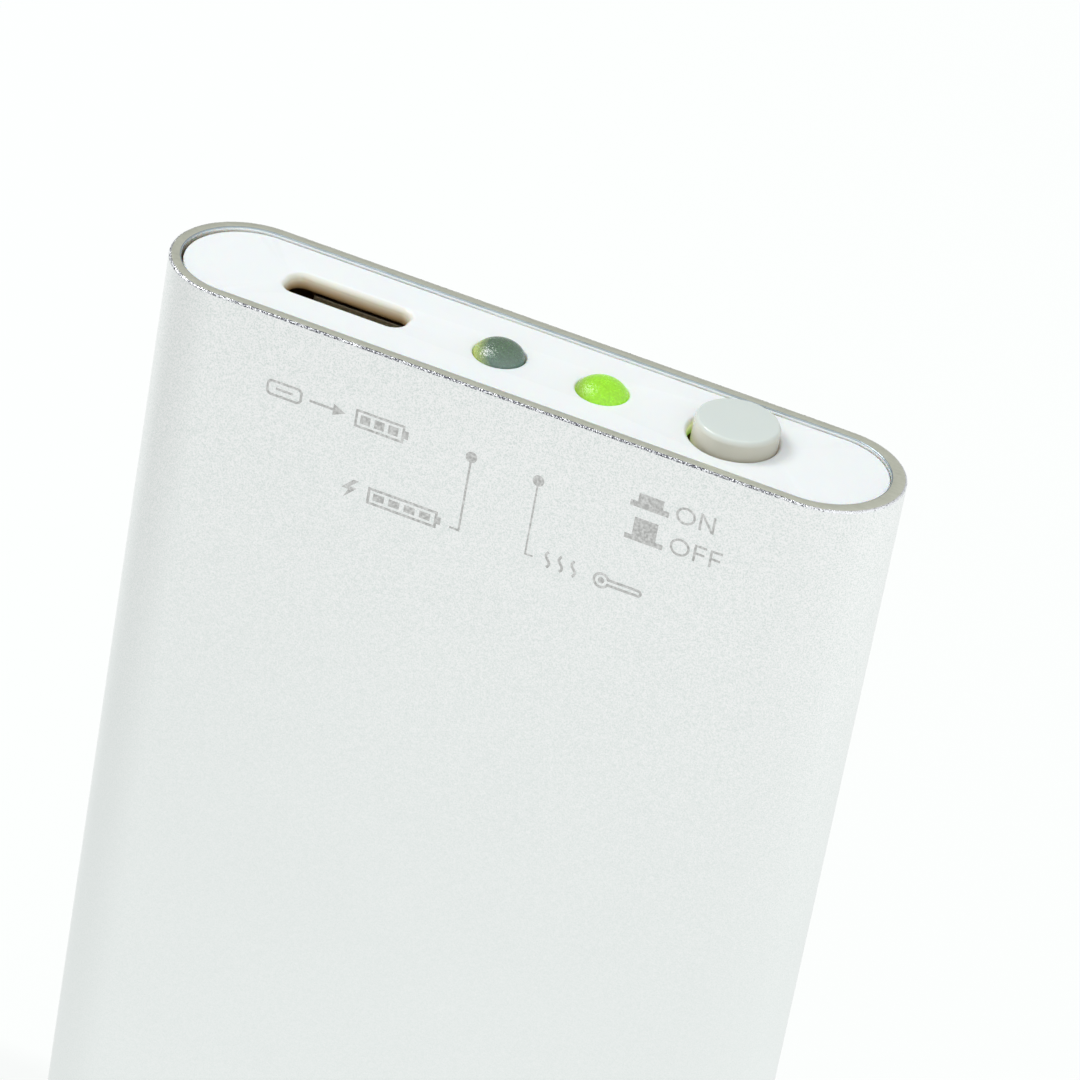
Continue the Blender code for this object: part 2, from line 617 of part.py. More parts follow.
def make_frame():
    """The tray that slides into the sleeve: a window for the battery and a bay for the board."""
    width = SLEEVE_BORE_WIDTH - 2 * FRAME_CLEARANCE
    frame = add_prism("inner_frame", stadium(width, 2 * FRAME_HALF), FRAME_BOTTOM_Z, FRAME_TOP_Z)
    past_y = BODY_THICKNESS
    window_low = (-WINDOW_HALF_WIDTH, -past_y, WINDOW_BOTTOM_Z)
    cut(frame, add_box("battery_window", window_low, (WINDOW_HALF_WIDTH, past_y, CROSSBAR_BOTTOM_Z)))
    bay_low = (-BAY_HALF_WIDTH, -past_y, CROSSBAR_TOP_Z)
    cut(frame, add_box("board_bay", bay_low, (BAY_HALF_WIDTH, WEB_FRONT_Y, FRAME_TOP_Z + CUT_OVERRUN)))
    pass_low = (-WINDOW_HALF_WIDTH, -past_y, CROSSBAR_BOTTOM_Z - CUT_OVERRUN)
    pass_high = (WINDOW_HALF_WIDTH, CROSSBAR_FRONT, CROSSBAR_TOP_Z + CUT_OVERRUN)
    cut(frame, add_box("wire_pass", pass_low, pass_high))
    for side, place_x in screw_places():
        low = (place_x, BOARD_BACK_Y + SEAT_GAP, SCREW_Z)
        high = (place_x, (WEB_FRONT_Y + FRAME_HALF) / 2, SCREW_Z)
        join(frame, add_cylinder(side + "_boss", BOSS_DIAMETER / 2, low, high, axis="Y"))
        hole = SCREW_DIAMETER / 2 + SCREW_HOLE_CLEARANCE
        low = (place_x, BOARD_BACK_Y - CUT_OVERRUN, SCREW_Z)
        high = (place_x, FRAME_HALF + CUT_OVERRUN, SCREW_Z)
        cut(frame, add_cylinder(side + "_boss_hole", hole, low, high, axis="Y", sides=SMALL_SIDES))
    finish(frame, NATURAL, BODY)


def screw_places():
    """The two board screws: a name and a distance across."""
    reach = BOARD_HALF_WIDTH * SCREW_X_SHARE
    return (("left", -reach), ("right", reach))


def lamp_lead_places():
    """Where the four lamp leads go: a name and a distance across."""
    places = []
    for lamp, lamp_x in (("led_charging", CHARGING_LAMP_X), ("led_warming", WARMING_LAMP_X)):
        for number, side in ((1, -1), (2, 1)):
            places.append((f"{lamp}_lead_{number}", lamp_x + side * LEAD_PITCH / 2))
    return places


def switch_pin_places():
    """Where the six switch pins go: distance across and height."""
    middle_z = (SWITCH_TOP_Z + SWITCH_BOTTOM_Z) / 2
    reach = SWITCH_WIDTH * SWITCH_PIN_COLUMN_SHARE
    rows = [middle_z + row * SWITCH_PIN_PITCH for row in (-1, 0, 1)]
    return [(BUTTON_X + side * reach, row_z) for row_z in rows for side in (-1, 1)]


def make_board():
    """The circuit board: a tongue under the socket, a step beside the spring, and its holes."""
    tongue_half = USB_SHELL_WIDTH / 2 + BOARD_USB_MARGIN
    tongue_top = USB_MOUTH_Z - BOARD_USB_SETBACK
    spring_side_x = BUTTON_X - SPRING_RADIUS - BOARD_SPRING_GAP
    outline = [
        (-BOARD_HALF_WIDTH, BOARD_BOTTOM_Z),
        (BOARD_HALF_WIDTH, BOARD_BOTTOM_Z),
        (BOARD_HALF_WIDTH, SWITCH_TOP_Z),
        (spring_side_x, SWITCH_TOP_Z),
        (spring_side_x, BOARD_TOP_Z),
        (USB_X + tongue_half, BOARD_TOP_Z),
        (USB_X + tongue_half, tongue_top),
        (USB_X - tongue_half, tongue_top),
        (USB_X - tongue_half, BOARD_TOP_Z),
        (-BOARD_HALF_WIDTH, BOARD_TOP_Z),
    ]
    board = add_prism("circuit_board", outline, BOARD_FRONT_Y, BOARD_BACK_Y, plane="XZ")
    lead_hole = LEAD_DIAMETER / 2 + BOARD_HOLE_CLEARANCE
    pin_hole = math.hypot(SWITCH_PIN_WIDTH, SWITCH_PIN_SHEET) / 2 + BOARD_HOLE_CLEARANCE / 2
    screw_hole = SCREW_DIAMETER / 2 + SCREW_HOLE_CLEARANCE
    holes = [(lead_x, LEAD_BEND_Z, lead_hole) for _, lead_x in lamp_lead_places()]
    holes += [(pin_x, pin_z, pin_hole) for pin_x, pin_z in switch_pin_places()]
    holes += [(place_x, SCREW_Z, screw_hole) for _, place_x in screw_places()]
    for number, (hole_x, hole_z, radius) in enumerate(holes):
        low = (hole_x, BOARD_FRONT_Y - CUT_OVERRUN, hole_z)
        high = (hole_x, BOARD_BACK_Y + CUT_OVERRUN, hole_z)
        drill = add_cylinder(f"board_hole_{number}", radius, low, high, axis="Y", sides=SMALL_SIDES)
        cut(board, drill)
    finish(board, BOARD_GREEN, BODY)


def make_screws():
    """Two cross-head screws that hold the board to the frame."""
    seat_y = BOARD_FRONT_Y - SEAT_GAP
    head_y = seat_y - SCREW_HEAD_HEIGHT
    for side, place_x in screw_places():
        low, high = (place_x, head_y, SCREW_Z), (place_x, seat_y, SCREW_Z)
        screw = add_cylinder("board_screw_" + side, SCREW_HEAD_DIAMETER / 2, low, high, axis="Y")
        low = (place_x, (head_y + seat_y) / 2, SCREW_Z)
        high = (place_x, FRAME_HALF - SCREW_END_SETBACK, SCREW_Z)
        shank = SCREW_DIAMETER / 2
        join(screw, add_cylinder(side + "_shank", shank, low, high, axis="Y", sides=SMALL_SIDES))
        arm, blade = SCREW_HEAD_DIAMETER / 4, SCREW_RECESS_WIDTH / 2
        recess = SCREW_RECESS_DEPTH
        for label, half_x, half_z in (("slot_a", arm, blade), ("slot_b", blade, arm)):
            low = (place_x - half_x, head_y - CUT_OVERRUN, SCREW_Z - half_z)
            high = (place_x + half_x, head_y + recess, SCREW_Z + half_z)
            cut(screw, add_box(f"{side}_{label}", low, high))
        finish(screw, STEEL, BODY)


def make_usb_shell():
    """The socket's folded steel shell, with a lip that flares at its mouth."""
    shape = bmesh.new()
    levels = (
        (USB_BACK_Z, 0.0),
        (USB_MOUTH_Z - USB_LIP_LENGTH, 0.0),
        (USB_MOUTH_Z, USB_LIP_FLARE),
    )
    loops = []
    for height, flare in levels:
        outline = socket_outline(USB_SHEET / 2 - flare)
        loops.append([shape.verts.new((across, along, height)) for across, along in outline])
    for lower, upper in zip(loops, loops[1:]):
        for index in range(len(lower)):
            following = (index + 1) % len(lower)
            shape.faces.new((lower[index], lower[following], upper[following], upper[index]))
    shell = object_from_bmesh("usb_shell", shape, (0.0, 0.0, 0.0))
    sheet = shell.modifiers.new("sheet", "SOLIDIFY")
    sheet.thickness = USB_SHEET
    sheet.offset = 0.0
    sheet.use_even_offset = True
    finish(shell, STEEL, BODY)


def contact_places():
    """Distances across of the socket's contacts."""
    middle = (CONTACT_COUNT - 1) / 2
    return [USB_X + (number - middle) * CONTACT_PITCH for number in range(CONTACT_COUNT)]


def make_usb_insulator():
    """The socket's black block and tongue, grooved for the contacts."""
    block_top = USB_BACK_Z + USB_BLOCK_LENGTH
    block = add_prism("usb_insulator", socket_outline(USB_SHEET + SEAT_GAP), USB_BACK_Z, block_top)
    half_tongue = USB_SHELL_WIDTH * TONGUE_WIDTH_SHARE / 2
    low = (USB_X - half_tongue, -TONGUE_THICKNESS, block_top - USB_BLOCK_LENGTH / 2)
    join(block, add_box("tongue", low, (USB_X + half_tongue, 0.0, USB_MOUTH_Z - TONGUE_SETBACK)))
    groove_half = CONTACT_WIDTH / 2 + SEAT_GAP
    for number, place_x in enumerate(contact_places()):
        low = (place_x - groove_half, 0.0, USB_BACK_Z - CUT_OVERRUN)
        high = (place_x + groove_half, USB_SHELL_HEIGHT, block_top + CUT_OVERRUN)
        cut(block, add_box(f"contact_groove_{number}", low, high))
    finish(block, BLACK, BODY)


def make_usb_contacts():
    """Five folded contacts that lie on the tongue and stand on the board."""
    inner_y = SEAT_GAP / 2
    foot_y = BOARD_FRONT_Y - SEAT_GAP / 2
    fold_z = USB_BACK_Z - CONTACT_TAIL_DROP
    tip_z = USB_MOUTH_Z - TONGUE_SETBACK - CONTACT_SETBACK
    outline = [
        (inner_y, tip_z),
        (inner_y, fold_z - CONTACT_SHEET),
        (foot_y - CONTACT_SHEET, fold_z - CONTACT_SHEET),
        (foot_y - CONTACT_SHEET, fold_z - CONTACT_FOOT),
        (foot_y, fold_z - CONTACT_FOOT),
        (foot_y, fold_z),
        (inner_y + CONTACT_SHEET, fold_z),
        (inner_y + CONTACT_SHEET, tip_z),
    ]
    for number, place_x in enumerate(contact_places(), start=1):
        low, high = place_x - CONTACT_WIDTH / 2, place_x + CONTACT_WIDTH / 2
        finish(add_prism(f"usb_contact_{number}", outline, low, high, plane="YZ"), GOLD, BODY)


def make_lamp(name, lamp_x, material):
    """A round-topped lamp with a flange at its foot."""
    radius = LAMP_DIAMETER / 2
    flange_z = LAMP_FLANGE_HEIGHT
    dome = arc((0.0, LAMP_LENGTH - radius), radius, 90, 0, DOME_STEPS)
    rim = LAMP_FLANGE_DIAMETER / 2
    profile = [(0.0, LAMP_LENGTH)] + dome[1:]
    profile += [(radius, flange_z), (rim, flange_z), (rim, 0.0), (0.0, 0.0)]
    finish(add_turned(name, profile, (lamp_x, 0.0, LAMP_BOTTOM_Z), LAMP_SIDES), material, BODY)


def make_lamps():
    """Both lamps and their leads, which bend back through the board."""
    make_lamp("led_charging", CHARGING_LAMP_X, LAMP_OLIVE)
    make_lamp("led_warming", WARMING_LAMP_X, LAMP_GREEN)
    for name, lead_x in lamp_lead_places():
        route = (
            (lead_x, 0.0, LAMP_BOTTOM_Z - SEAT_GAP),
            (lead_x, 0.0, LEAD_BEND_Z),
            (lead_x, STUB_END_Y, LEAD_BEND_Z),
        )
        finish(add_wire(name, route, LEAD_DIAMETER, LEAD_BEND), TINNED, BODY)


def make_button():
    """The button cap: a round cap with a flange that stays under the end cap."""
    radius = BUTTON_DIAMETER / 2
    edge = BUTTON_EDGE_RADIUS
    crown_z = BUTTON_TOP_Z - FLANGE_TOP_Z
    foot_z = FLANGE_BOTTOM_Z - FLANGE_TOP_Z
    profile = [(0.0, crown_z)] + arc((radius - edge, crown_z - edge), edge, 90, 0, 4)
    profile += [(radius, foot_z), (0.0, foot_z)]
    button = add_turned("button_cap", profile, (BUTTON_X, 0.0, FLANGE_TOP_Z), BUTTON_SIDES)
    half_depth = BORE_HALF - CAP_CLEARANCE - CAP_SKIRT_WALL - BUTTON_FLANGE_SIDE_GAP
    half_width = BUTTON_FLANGE_WIDTH / 2
    flange_low = (BUTTON_X - half_width, -half_depth, FLANGE_BOTTOM_Z)
    join(button, add_box("button_flange", flange_low, (BUTTON_X + half_width, half_depth, FLANGE_TOP_Z)))
    half_socket = SHAFT_WIDTH / 2 + SEAT_GAP
    socket_low = (BUTTON_X - half_socket, -half_socket, FLANGE_BOTTOM_Z - CUT_OVERRUN)
    socket_high = (BUTTON_X + half_socket, half_socket, SHAFT_SOCKET_TOP_Z)
    cut(button, add_box("shaft_socket", socket_low, socket_high))
    finish(button, GREY, BUTTON_AXIS)


def make_plunger():
    """The switch's sliding core, with the groove that the latch pin follows."""
    half_shaft = SHAFT_WIDTH / 2
    half_width = PLUNGER_WIDTH / 2
    plunger = add_box(
        "switch_plunger",
        (BUTTON_X - half_width, -half_shaft, PLUNGER_BOTTOM_Z),
        (BUTTON_X + half_width, half_shaft, PLUNGER_TOP_Z),
    )
    shaft_low = (BUTTON_X - half_shaft, -half_shaft, GROOVE_MIDDLE_Z)
    shaft_high = (BUTTON_X + half_shaft, half_shaft, SHAFT_SOCKET_TOP_Z - SEAT_GAP)
    join(plunger, add_box("shaft", shaft_low, shaft_high))
    reach_up = BUTTON_OVERTRAVEL + LATCH_WIRE / 2 + RUNNING_GAP
    reach_down = BUTTON_TRAVEL + LATCH_WIRE / 2 + RUNNING_GAP
    groove_low = (BUTTON_X - GROOVE_WIDTH / 2, -half_shaft - CUT_OVERRUN, LATCH_LEG_Z - reach_down)
    groove_high = (BUTTON_X + GROOVE_WIDTH / 2, -half_shaft + GROOVE_DEPTH, LATCH_LEG_Z + reach_up)
    cut(plunger, add_box("latch_groove", groove_low, groove_high))
    finish(plunger, BLACK, BUTTON_AXIS)


def make_switch_housing():
    """The switch's body, with its bore, latch slot and pin pockets."""
    half_width = SWITCH_WIDTH / 2
    housing = add_box(
        "switch_housing",
        (BUTTON_X - half_width, SWITCH_FRONT_Y, SWITCH_BOTTOM_Z),
        (BUTTON_X + half_width, SWITCH_BACK_Y - SEAT_GAP / 2, SWITCH_TOP_Z),
    )
    half_bore = PLUNGER_WIDTH / 2 + RUNNING_GAP
    half_hole = SHAFT_HOLE_HALF
    bore_low = (BUTTON_X - half_bore, -half_hole, PLUNGER_BOTTOM_Z - BUTTON_OVERTRAVEL - RUNNING_GAP)
    bore_high = (BUTTON_X + half_bore, half_hole, SWITCH_TOP_Z - SWITCH_ROOF)
    cut(housing, add_box("plunger_bore", bore_low, bore_high))
    hole_low = (BUTTON_X - half_hole, -half_hole, PLUNGER_TOP_Z)
    hole_high = (BUTTON_X + half_hole, half_hole, SWITCH_TOP_Z + CUT_OVERRUN)
    cut(housing, add_box("shaft_hole", hole_low, hole_high))
    leg_room = LATCH_WIRE / 2 + SEAT_GAP
    past_y = SWITCH_FRONT_Y - CUT_OVERRUN
    slot_low = (BUTTON_X - leg_room, past_y, LATCH_LEG_Z - leg_room)
    cut(housing, add_box("latch_slot", slot_low, (BUTTON_X + leg_room, 0.0, LATCH_LEG_Z + leg_room)))
    anchor_z = latch_anchor_z()
    anchor_low = (BUTTON_X - leg_room, past_y, anchor_z - leg_room)
    anchor_high = (BUTTON_X + leg_room, LATCH_ANCHOR_Y + leg_room, anchor_z + leg_room)
    cut(housing, add_box("latch_anchor", anchor_low, anchor_high))
    for number, (pin_x, pin_z) in enumerate(switch_pin_places()):
        half_x = SWITCH_PIN_WIDTH / 2 + SEAT_GAP
        half_z = SWITCH_PIN_SHEET / 2 + SEAT_GAP
        low = (pin_x - half_x, SWITCH_BACK_Y - SWITCH_PIN_ROOT - SEAT_GAP, pin_z - half_z)
        high = (pin_x + half_x, SWITCH_BACK_Y + CUT_OVERRUN, pin_z + half_z)
        cut(housing, add_box(f"pin_pocket_{number}", low, high))
    finish(housing, BLACK, BODY)


def latch_anchor_z():
    """The height where the latch pin is held, in the switch's roof."""
    return SWITCH_TOP_Z - SWITCH_ROOF / 2


def make_switch_small_parts():
    """The return spring, the latch pin and the six pins."""
    radius = SPRING_RADIUS - SPRING_WIRE / 2
    low_z = SWITCH_TOP_Z + SEAT_GAP + SPRING_WIRE / 2
    high_z = FLANGE_BOTTOM_Z - SEAT_GAP - SPRING_WIRE / 2
    count = SPRING_TURNS * COIL_STEPS
    curve = bpy.data.curves.new("switch_spring", "CURVE")
    curve.dimensions = "3D"
    curve.bevel_depth = SPRING_WIRE / 2
    curve.bevel_resolution = 2
    curve.use_fill_caps = True
    spline = curve.splines.new("POLY")
    spline.points.add(count)
    for step, point in enumerate(spline.points):
        turn = 2 * math.pi * step / COIL_STEPS
        height = low_z + (high_z - low_z) * step / count
        point.co = (BUTTON_X + radius * math.cos(turn), radius * math.sin(turn), height, 1.0)
    spring = bpy.data.objects.new("switch_spring", curve)
    PARTS.objects.link(spring)
    finish(mesh_from_curve(spring), STEEL, BODY)

    bar_y = SWITCH_FRONT_Y - LATCH_STANDOFF - LATCH_WIRE / 2
    groove_floor_y = GROOVE_DEPTH - SHAFT_WIDTH / 2
    route = (
        (BUTTON_X, groove_floor_y - RUNNING_GAP, LATCH_LEG_Z),
        (BUTTON_X, bar_y, LATCH_LEG_Z),
        (BUTTON_X, bar_y, latch_anchor_z()),
        (BUTTON_X, LATCH_ANCHOR_Y, latch_anchor_z()),
    )
    bend = LATCH_STANDOFF + LATCH_WIRE / 2
    finish(add_wire("switch_latch_pin", route, LATCH_WIRE, bend), STEEL, BODY)

    for number, (pin_x, pin_z) in enumerate(switch_pin_places(), start=1):
        half_x, half_z = SWITCH_PIN_WIDTH / 2, SWITCH_PIN_SHEET / 2
        low = (pin_x - half_x, SWITCH_BACK_Y - SWITCH_PIN_ROOT, pin_z - half_z)
        high = (pin_x + half_x, STUB_END_Y, pin_z + half_z)
        finish(add_box(f"switch_pin_{number}", low, high), TINNED, BODY)


def make_battery():
    """The pouch cell, its protection board, and the two tabs that carry that board."""
    half_width, half_depth = BATTERY_WIDTH / 2, BATTERY_THICKNESS / 2
    cell = add_box(
        "battery_cell",
        (-half_width, -half_depth, BATTERY_BOTTOM_Z),
        (half_width, half_depth, BATTERY_TOP_Z),
    )
    rounding = cell.modifiers.new("pouch_edges", "BEVEL")
    rounding.width = BATTERY_EDGE_RADIUS
    rounding.segments = 3
    finish(cell, POUCH, BODY)

    half_sheet = BATTERY_BOARD_SHEET / 2
    low = (-BATTERY_BOARD_HALF_WIDTH, -half_sheet, BATTERY_BOARD_BOTTOM_Z)
    high = (BATTERY_BOARD_HALF_WIDTH, half_sheet, BATTERY_BOARD_TOP_Z)
    finish(add_box("battery_board", low, high), BOARD_GREEN, BODY)

    tab_top = BATTERY_BOARD_BOTTOM_Z + BATTERY_BOARD_HEIGHT * TAB_OVERLAP_SHARE
    for label, side in (("positive", -1), ("negative", 1)):
        middle = side * BATTERY_BOARD_HALF_WIDTH * TAB_X_SHARE
        low = (middle - TAB_WIDTH / 2, half_sheet + SEAT_GAP, BATTERY_TOP_Z + SEAT_GAP)
        high = (middle + TAB_WIDTH / 2, half_sheet + SEAT_GAP + TAB_SHEET, tab_top)
        finish(add_box("battery_tab_" + label, low, high), TINNED, BODY)


def make_heaters():
    """Heating films against both flat walls, and foam between them and the cell."""
    foam_low_z = BATTERY_BOTTOM_Z + FOAM_END_GAP
    foam_high_z = BATTERY_TOP_Z - FOAM_END_GAP
    for label, side in (("front", -1), ("back", 1)):
        low_y, high_y = sorted((side * FILM_INNER_Y, side * FILM_OUTER_Y))
        low, high = (-FILM_HALF_WIDTH, low_y, BATTERY_BOTTOM_Z), (FILM_HALF_WIDTH, high_y, FILM_TOP_Z)
        finish(add_box("heater_film_" + label, low, high), KAPTON, BODY)
        low_y, high_y = sorted((side * FOAM_INNER_Y, side * FOAM_OUTER_Y))
        pad = add_box(
            "foam_pad_" + label,
            (-FILM_HALF_WIDTH, low_y, foam_low_z),
            (FILM_HALF_WIDTH, high_y, foam_high_z),
        )
        if side == -1:
            half = SENSOR_CHANNEL / 2
            low = (-half, -BODY_THICKNESS, sensor_z() - SENSOR_LENGTH)
            cut(pad, add_box("sensor_channel", low, (half, 0.0, foam_high_z + CUT_OVERRUN)))
        finish(pad, FOAM, BODY)


def sensor_z():
    """The height of the temperature sensor's lower end."""
    return BATTERY_BOTTOM_Z + (BATTERY_TOP_Z - BATTERY_BOTTOM_Z) * SENSOR_HEIGHT_SHARE


def make_sensor():
    """The temperature sensor, which lies on the front heating film."""
    radius = SENSOR_DIAMETER / 2
    middle_y = -(FILM_INNER_Y - SEAT_GAP - radius)
    low = (0.0, middle_y, sensor_z())
    high = (0.0, middle_y, sensor_z() + SENSOR_LENGTH)
    finish(add_cylinder("temperature_sensor", radius, low, high, sides=SMALL_SIDES), BLACK, BODY)
    end_y = BOARD_FRONT_Y - SEAT_GAP
    start_z = sensor_z() + SENSOR_LENGTH + SEAT_GAP
    for number, side in ((1, -1), (2, 1)):
        wire_x = side * SENSOR_WIRE_SPACING / 2
        route = (
            (side * SENSOR_WIRE / 2 * SENSOR_WIRE_ROOT_SHARE, middle_y, start_z),
            (wire_x, middle_y, start_z + SENSOR_LENGTH),
            (wire_x, middle_y, SENSOR_PAD_Z),
            (wire_x, end_y, SENSOR_PAD_Z),
        )
        finish(add_wire(f"sensor_lead_{number}", route, SENSOR_WIRE, WIRE_BEND), TINNED, BODY)


def make_wires():
    """Leads from the battery's board and the heating films to the circuit board."""
    end_y = BOARD_FRONT_Y - SEAT_GAP
    start_y = -(BATTERY_BOARD_SHEET / 2 + SEAT_GAP)
    front_y = start_y - WIRE_FRONT_ROOM
    for name, side, material in (("red", -1, RED_WIRE), ("black", 1, BLACK_WIRE)):
        wire_x = side * BATTERY_BOARD_HALF_WIDTH * BATTERY_WIRE_X_SHARE
        route = (
            (wire_x, start_y, WIRE_START_Z),
            (wire_x, front_y, WIRE_START_Z),
            (wire_x, front_y, WIRE_PAD_Z),
            (wire_x, end_y, WIRE_PAD_Z),
        )
        finish(add_wire("battery_lead_" + name, route, BATTERY_WIRE, WIRE_BEND), material, BODY)
    number = 0
    room = FILM_HALF_WIDTH - BATTERY_BOARD_HALF_WIDTH
    for side, film_y in ((-1, -1), (1, 1)):
        for share in HEATER_WIRE_PLACE_SHARES:
            number += 1
            wire_x = side * (BATTERY_BOARD_HALF_WIDTH + room * share)
            run_y = front_y if film_y > 0 else -(FILM_INNER_Y - WIRE_FRONT_ROOM)
            route = (
                (wire_x, film_y * (FILM_INNER_Y - SEAT_GAP), WIRE_START_Z),
                (wire_x, run_y, WIRE_START_Z),
                (wire_x, run_y, WIRE_PAD_Z),
                (wire_x, end_y, WIRE_PAD_Z),
            )
            bend = HEATER_WIRE
            finish(add_wire(f"heater_lead_{number}", route, HEATER_WIRE, bend), WHITE_WIRE, BODY)


def board_height(share):
    """A height on the board from its share of the board's own."""
    return BOARD_BOTTOM_Z + share * BOARD_HEIGHT


def add_component(name, across, height, size, material):
    """A plain block on the board's front face."""
    back_y = BOARD_FRONT_Y - SEAT_GAP
    low = (across - size[0] / 2, back_y - size[1], height - size[2] / 2)
    high = (across + size[0] / 2, back_y, height + size[2] / 2)
    finish(add_box(name, low, high), material, BODY)


def add_chip(name, across, height):
    """A chip whose legs come out at both sides."""
    back_y = BOARD_FRONT_Y - SEAT_GAP
    chip = add_box(
        name,
        (across - CHIP_WIDTH / 2, back_y - CHIP_HEIGHT, height - CHIP_LENGTH / 2),
        (across + CHIP_WIDTH / 2, back_y - CHIP_LEG_SHEET / 2, height + CHIP_LENGTH / 2),
    )
    for row in range(CHIP_LEG_ROWS):
        row_z = height + (row - (CHIP_LEG_ROWS - 1) / 2) * CHIP_LEG_PITCH
        low = (across - CHIP_LEG_SPAN / 2, back_y - CHIP_LEG_SHEET, row_z - CHIP_LEG_WIDTH / 2)
        high = (across + CHIP_LEG_SPAN / 2, back_y, row_z + CHIP_LEG_WIDTH / 2)
        join(chip, add_box(f"{name}_legs_{row}", low, high))
    finish(chip, BLACK, BODY)


def make_components():
    """What is soldered to the board, and the foam block that rests on it."""
    chip_z = board_height(CHIP_HEIGHT_SHARE)
    add_chip("charge_chip", CHARGE_CHIP_X, chip_z)
    add_chip("heater_transistor", TRANSISTOR_X, chip_z)
    places = [(RESISTOR_X, board_height(share)) for share in RESISTOR_HEIGHT_SHARES]
    places.append((TRANSISTOR_X, board_height(TOP_RESISTOR_HEIGHT_SHARE)))
    for number, (across, height) in enumerate(places, start=1):
        add_component(f"resistor_{number}", across, height, RESISTOR_SIZE, BLACK)
    for number, share in enumerate(CAPACITOR_HEIGHT_SHARES, start=1):
        add_component(f"capacitor_{number}", CAPACITOR_X, board_height(share), CAPACITOR_SIZE, CERAMIC)
    left = CAPACITOR_X - CAPACITOR_SIZE[0] / 2
    right = TRANSISTOR_X + CHIP_WIDTH / 2
    bottom, top = (board_height(share) for share in FOAM_BLOCK_HEIGHT_SHARES)
    chip_top_y = BOARD_FRONT_Y - SEAT_GAP - CHIP_HEIGHT
    low = (left, -(BORE_HALF - SEAT_GAP), bottom)
    finish(add_box("foam_block", low, (right, chip_top_y - SEAT_GAP, top)), FOAM, BODY)


make_sleeve()
make_top_cap()
make_bottom_cap()
make_frame()
make_board()
make_screws()
make_usb_shell()
make_usb_insulator()
make_usb_contacts()
make_lamps()
make_button()
make_plunger()
make_switch_housing()
make_switch_small_parts()
make_battery()
make_heaters()
make_sensor()
make_wires()
make_components()
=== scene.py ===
"""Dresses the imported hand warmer: fine shells, lamps, button and marks, finishes, light and camera.

Sizes are millimetres in the classes' fields and metres in the meshes. The part stands on z = 0 with
its control end up, its width along X and its printed face towards -Y.
"""

import logging
import math
from dataclasses import dataclass, field, fields
from enum import Enum

import bmesh
import bpy
from mathutils import Matrix, Vector


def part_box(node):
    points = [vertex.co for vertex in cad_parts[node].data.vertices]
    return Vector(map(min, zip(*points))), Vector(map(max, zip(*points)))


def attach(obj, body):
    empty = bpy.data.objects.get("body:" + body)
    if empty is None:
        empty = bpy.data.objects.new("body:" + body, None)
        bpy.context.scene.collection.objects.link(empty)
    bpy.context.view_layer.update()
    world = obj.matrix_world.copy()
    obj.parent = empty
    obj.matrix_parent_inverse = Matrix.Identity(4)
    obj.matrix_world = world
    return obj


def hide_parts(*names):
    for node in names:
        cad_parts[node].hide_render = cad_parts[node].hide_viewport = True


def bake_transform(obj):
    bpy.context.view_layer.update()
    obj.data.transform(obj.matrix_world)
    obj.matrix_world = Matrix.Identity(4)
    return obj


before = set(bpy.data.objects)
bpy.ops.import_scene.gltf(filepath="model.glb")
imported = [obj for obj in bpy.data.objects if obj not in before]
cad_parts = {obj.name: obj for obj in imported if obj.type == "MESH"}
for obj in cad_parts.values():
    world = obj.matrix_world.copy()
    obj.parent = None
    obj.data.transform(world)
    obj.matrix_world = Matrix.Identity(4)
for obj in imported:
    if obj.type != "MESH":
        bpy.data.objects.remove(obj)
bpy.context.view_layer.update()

logging.basicConfig(level=logging.INFO, format="%(name)s: %(message)s")
LOG = logging.getLogger("hand_warmer")

MM = 0.001
WELD = 0.0005 * MM
SHARP_ANGLE = 40.0
MARK_SHARP_ANGLE = 30.0
X, Y, Z = (Vector(axis) for axis in ((1.0, 0.0, 0.0), (0.0, 1.0, 0.0), (0.0, 0.0, 1.0)))

Socket = bpy.types.NodeSocket
Node = bpy.types.Node
Mesh = bpy.types.Mesh
Object = bpy.types.Object
Material = bpy.types.Material
Point = tuple[float, float]
Place = tuple[float, float, float]
Outline = list[Point]
Colour = tuple[float, float, float]
Stop = tuple[float, Colour]

WHITE: Colour = (1.0, 1.0, 1.0)


class Body(Enum):
    """The bodies that a piece can ride on."""

    CASE = "body"
    BUTTON = "button"


class Grain(Enum):
    """How a metal's sheen is broken up: speck size, layers, squeeze along each axis, depth."""

    FINE = (0.25, 3.0, None, 0.006)
    STREAKED = (0.4, 3.0, (1.0, 1.0, 6.0), 0.006)
    WRINKLED = (4.0, 5.0, None, 0.08)


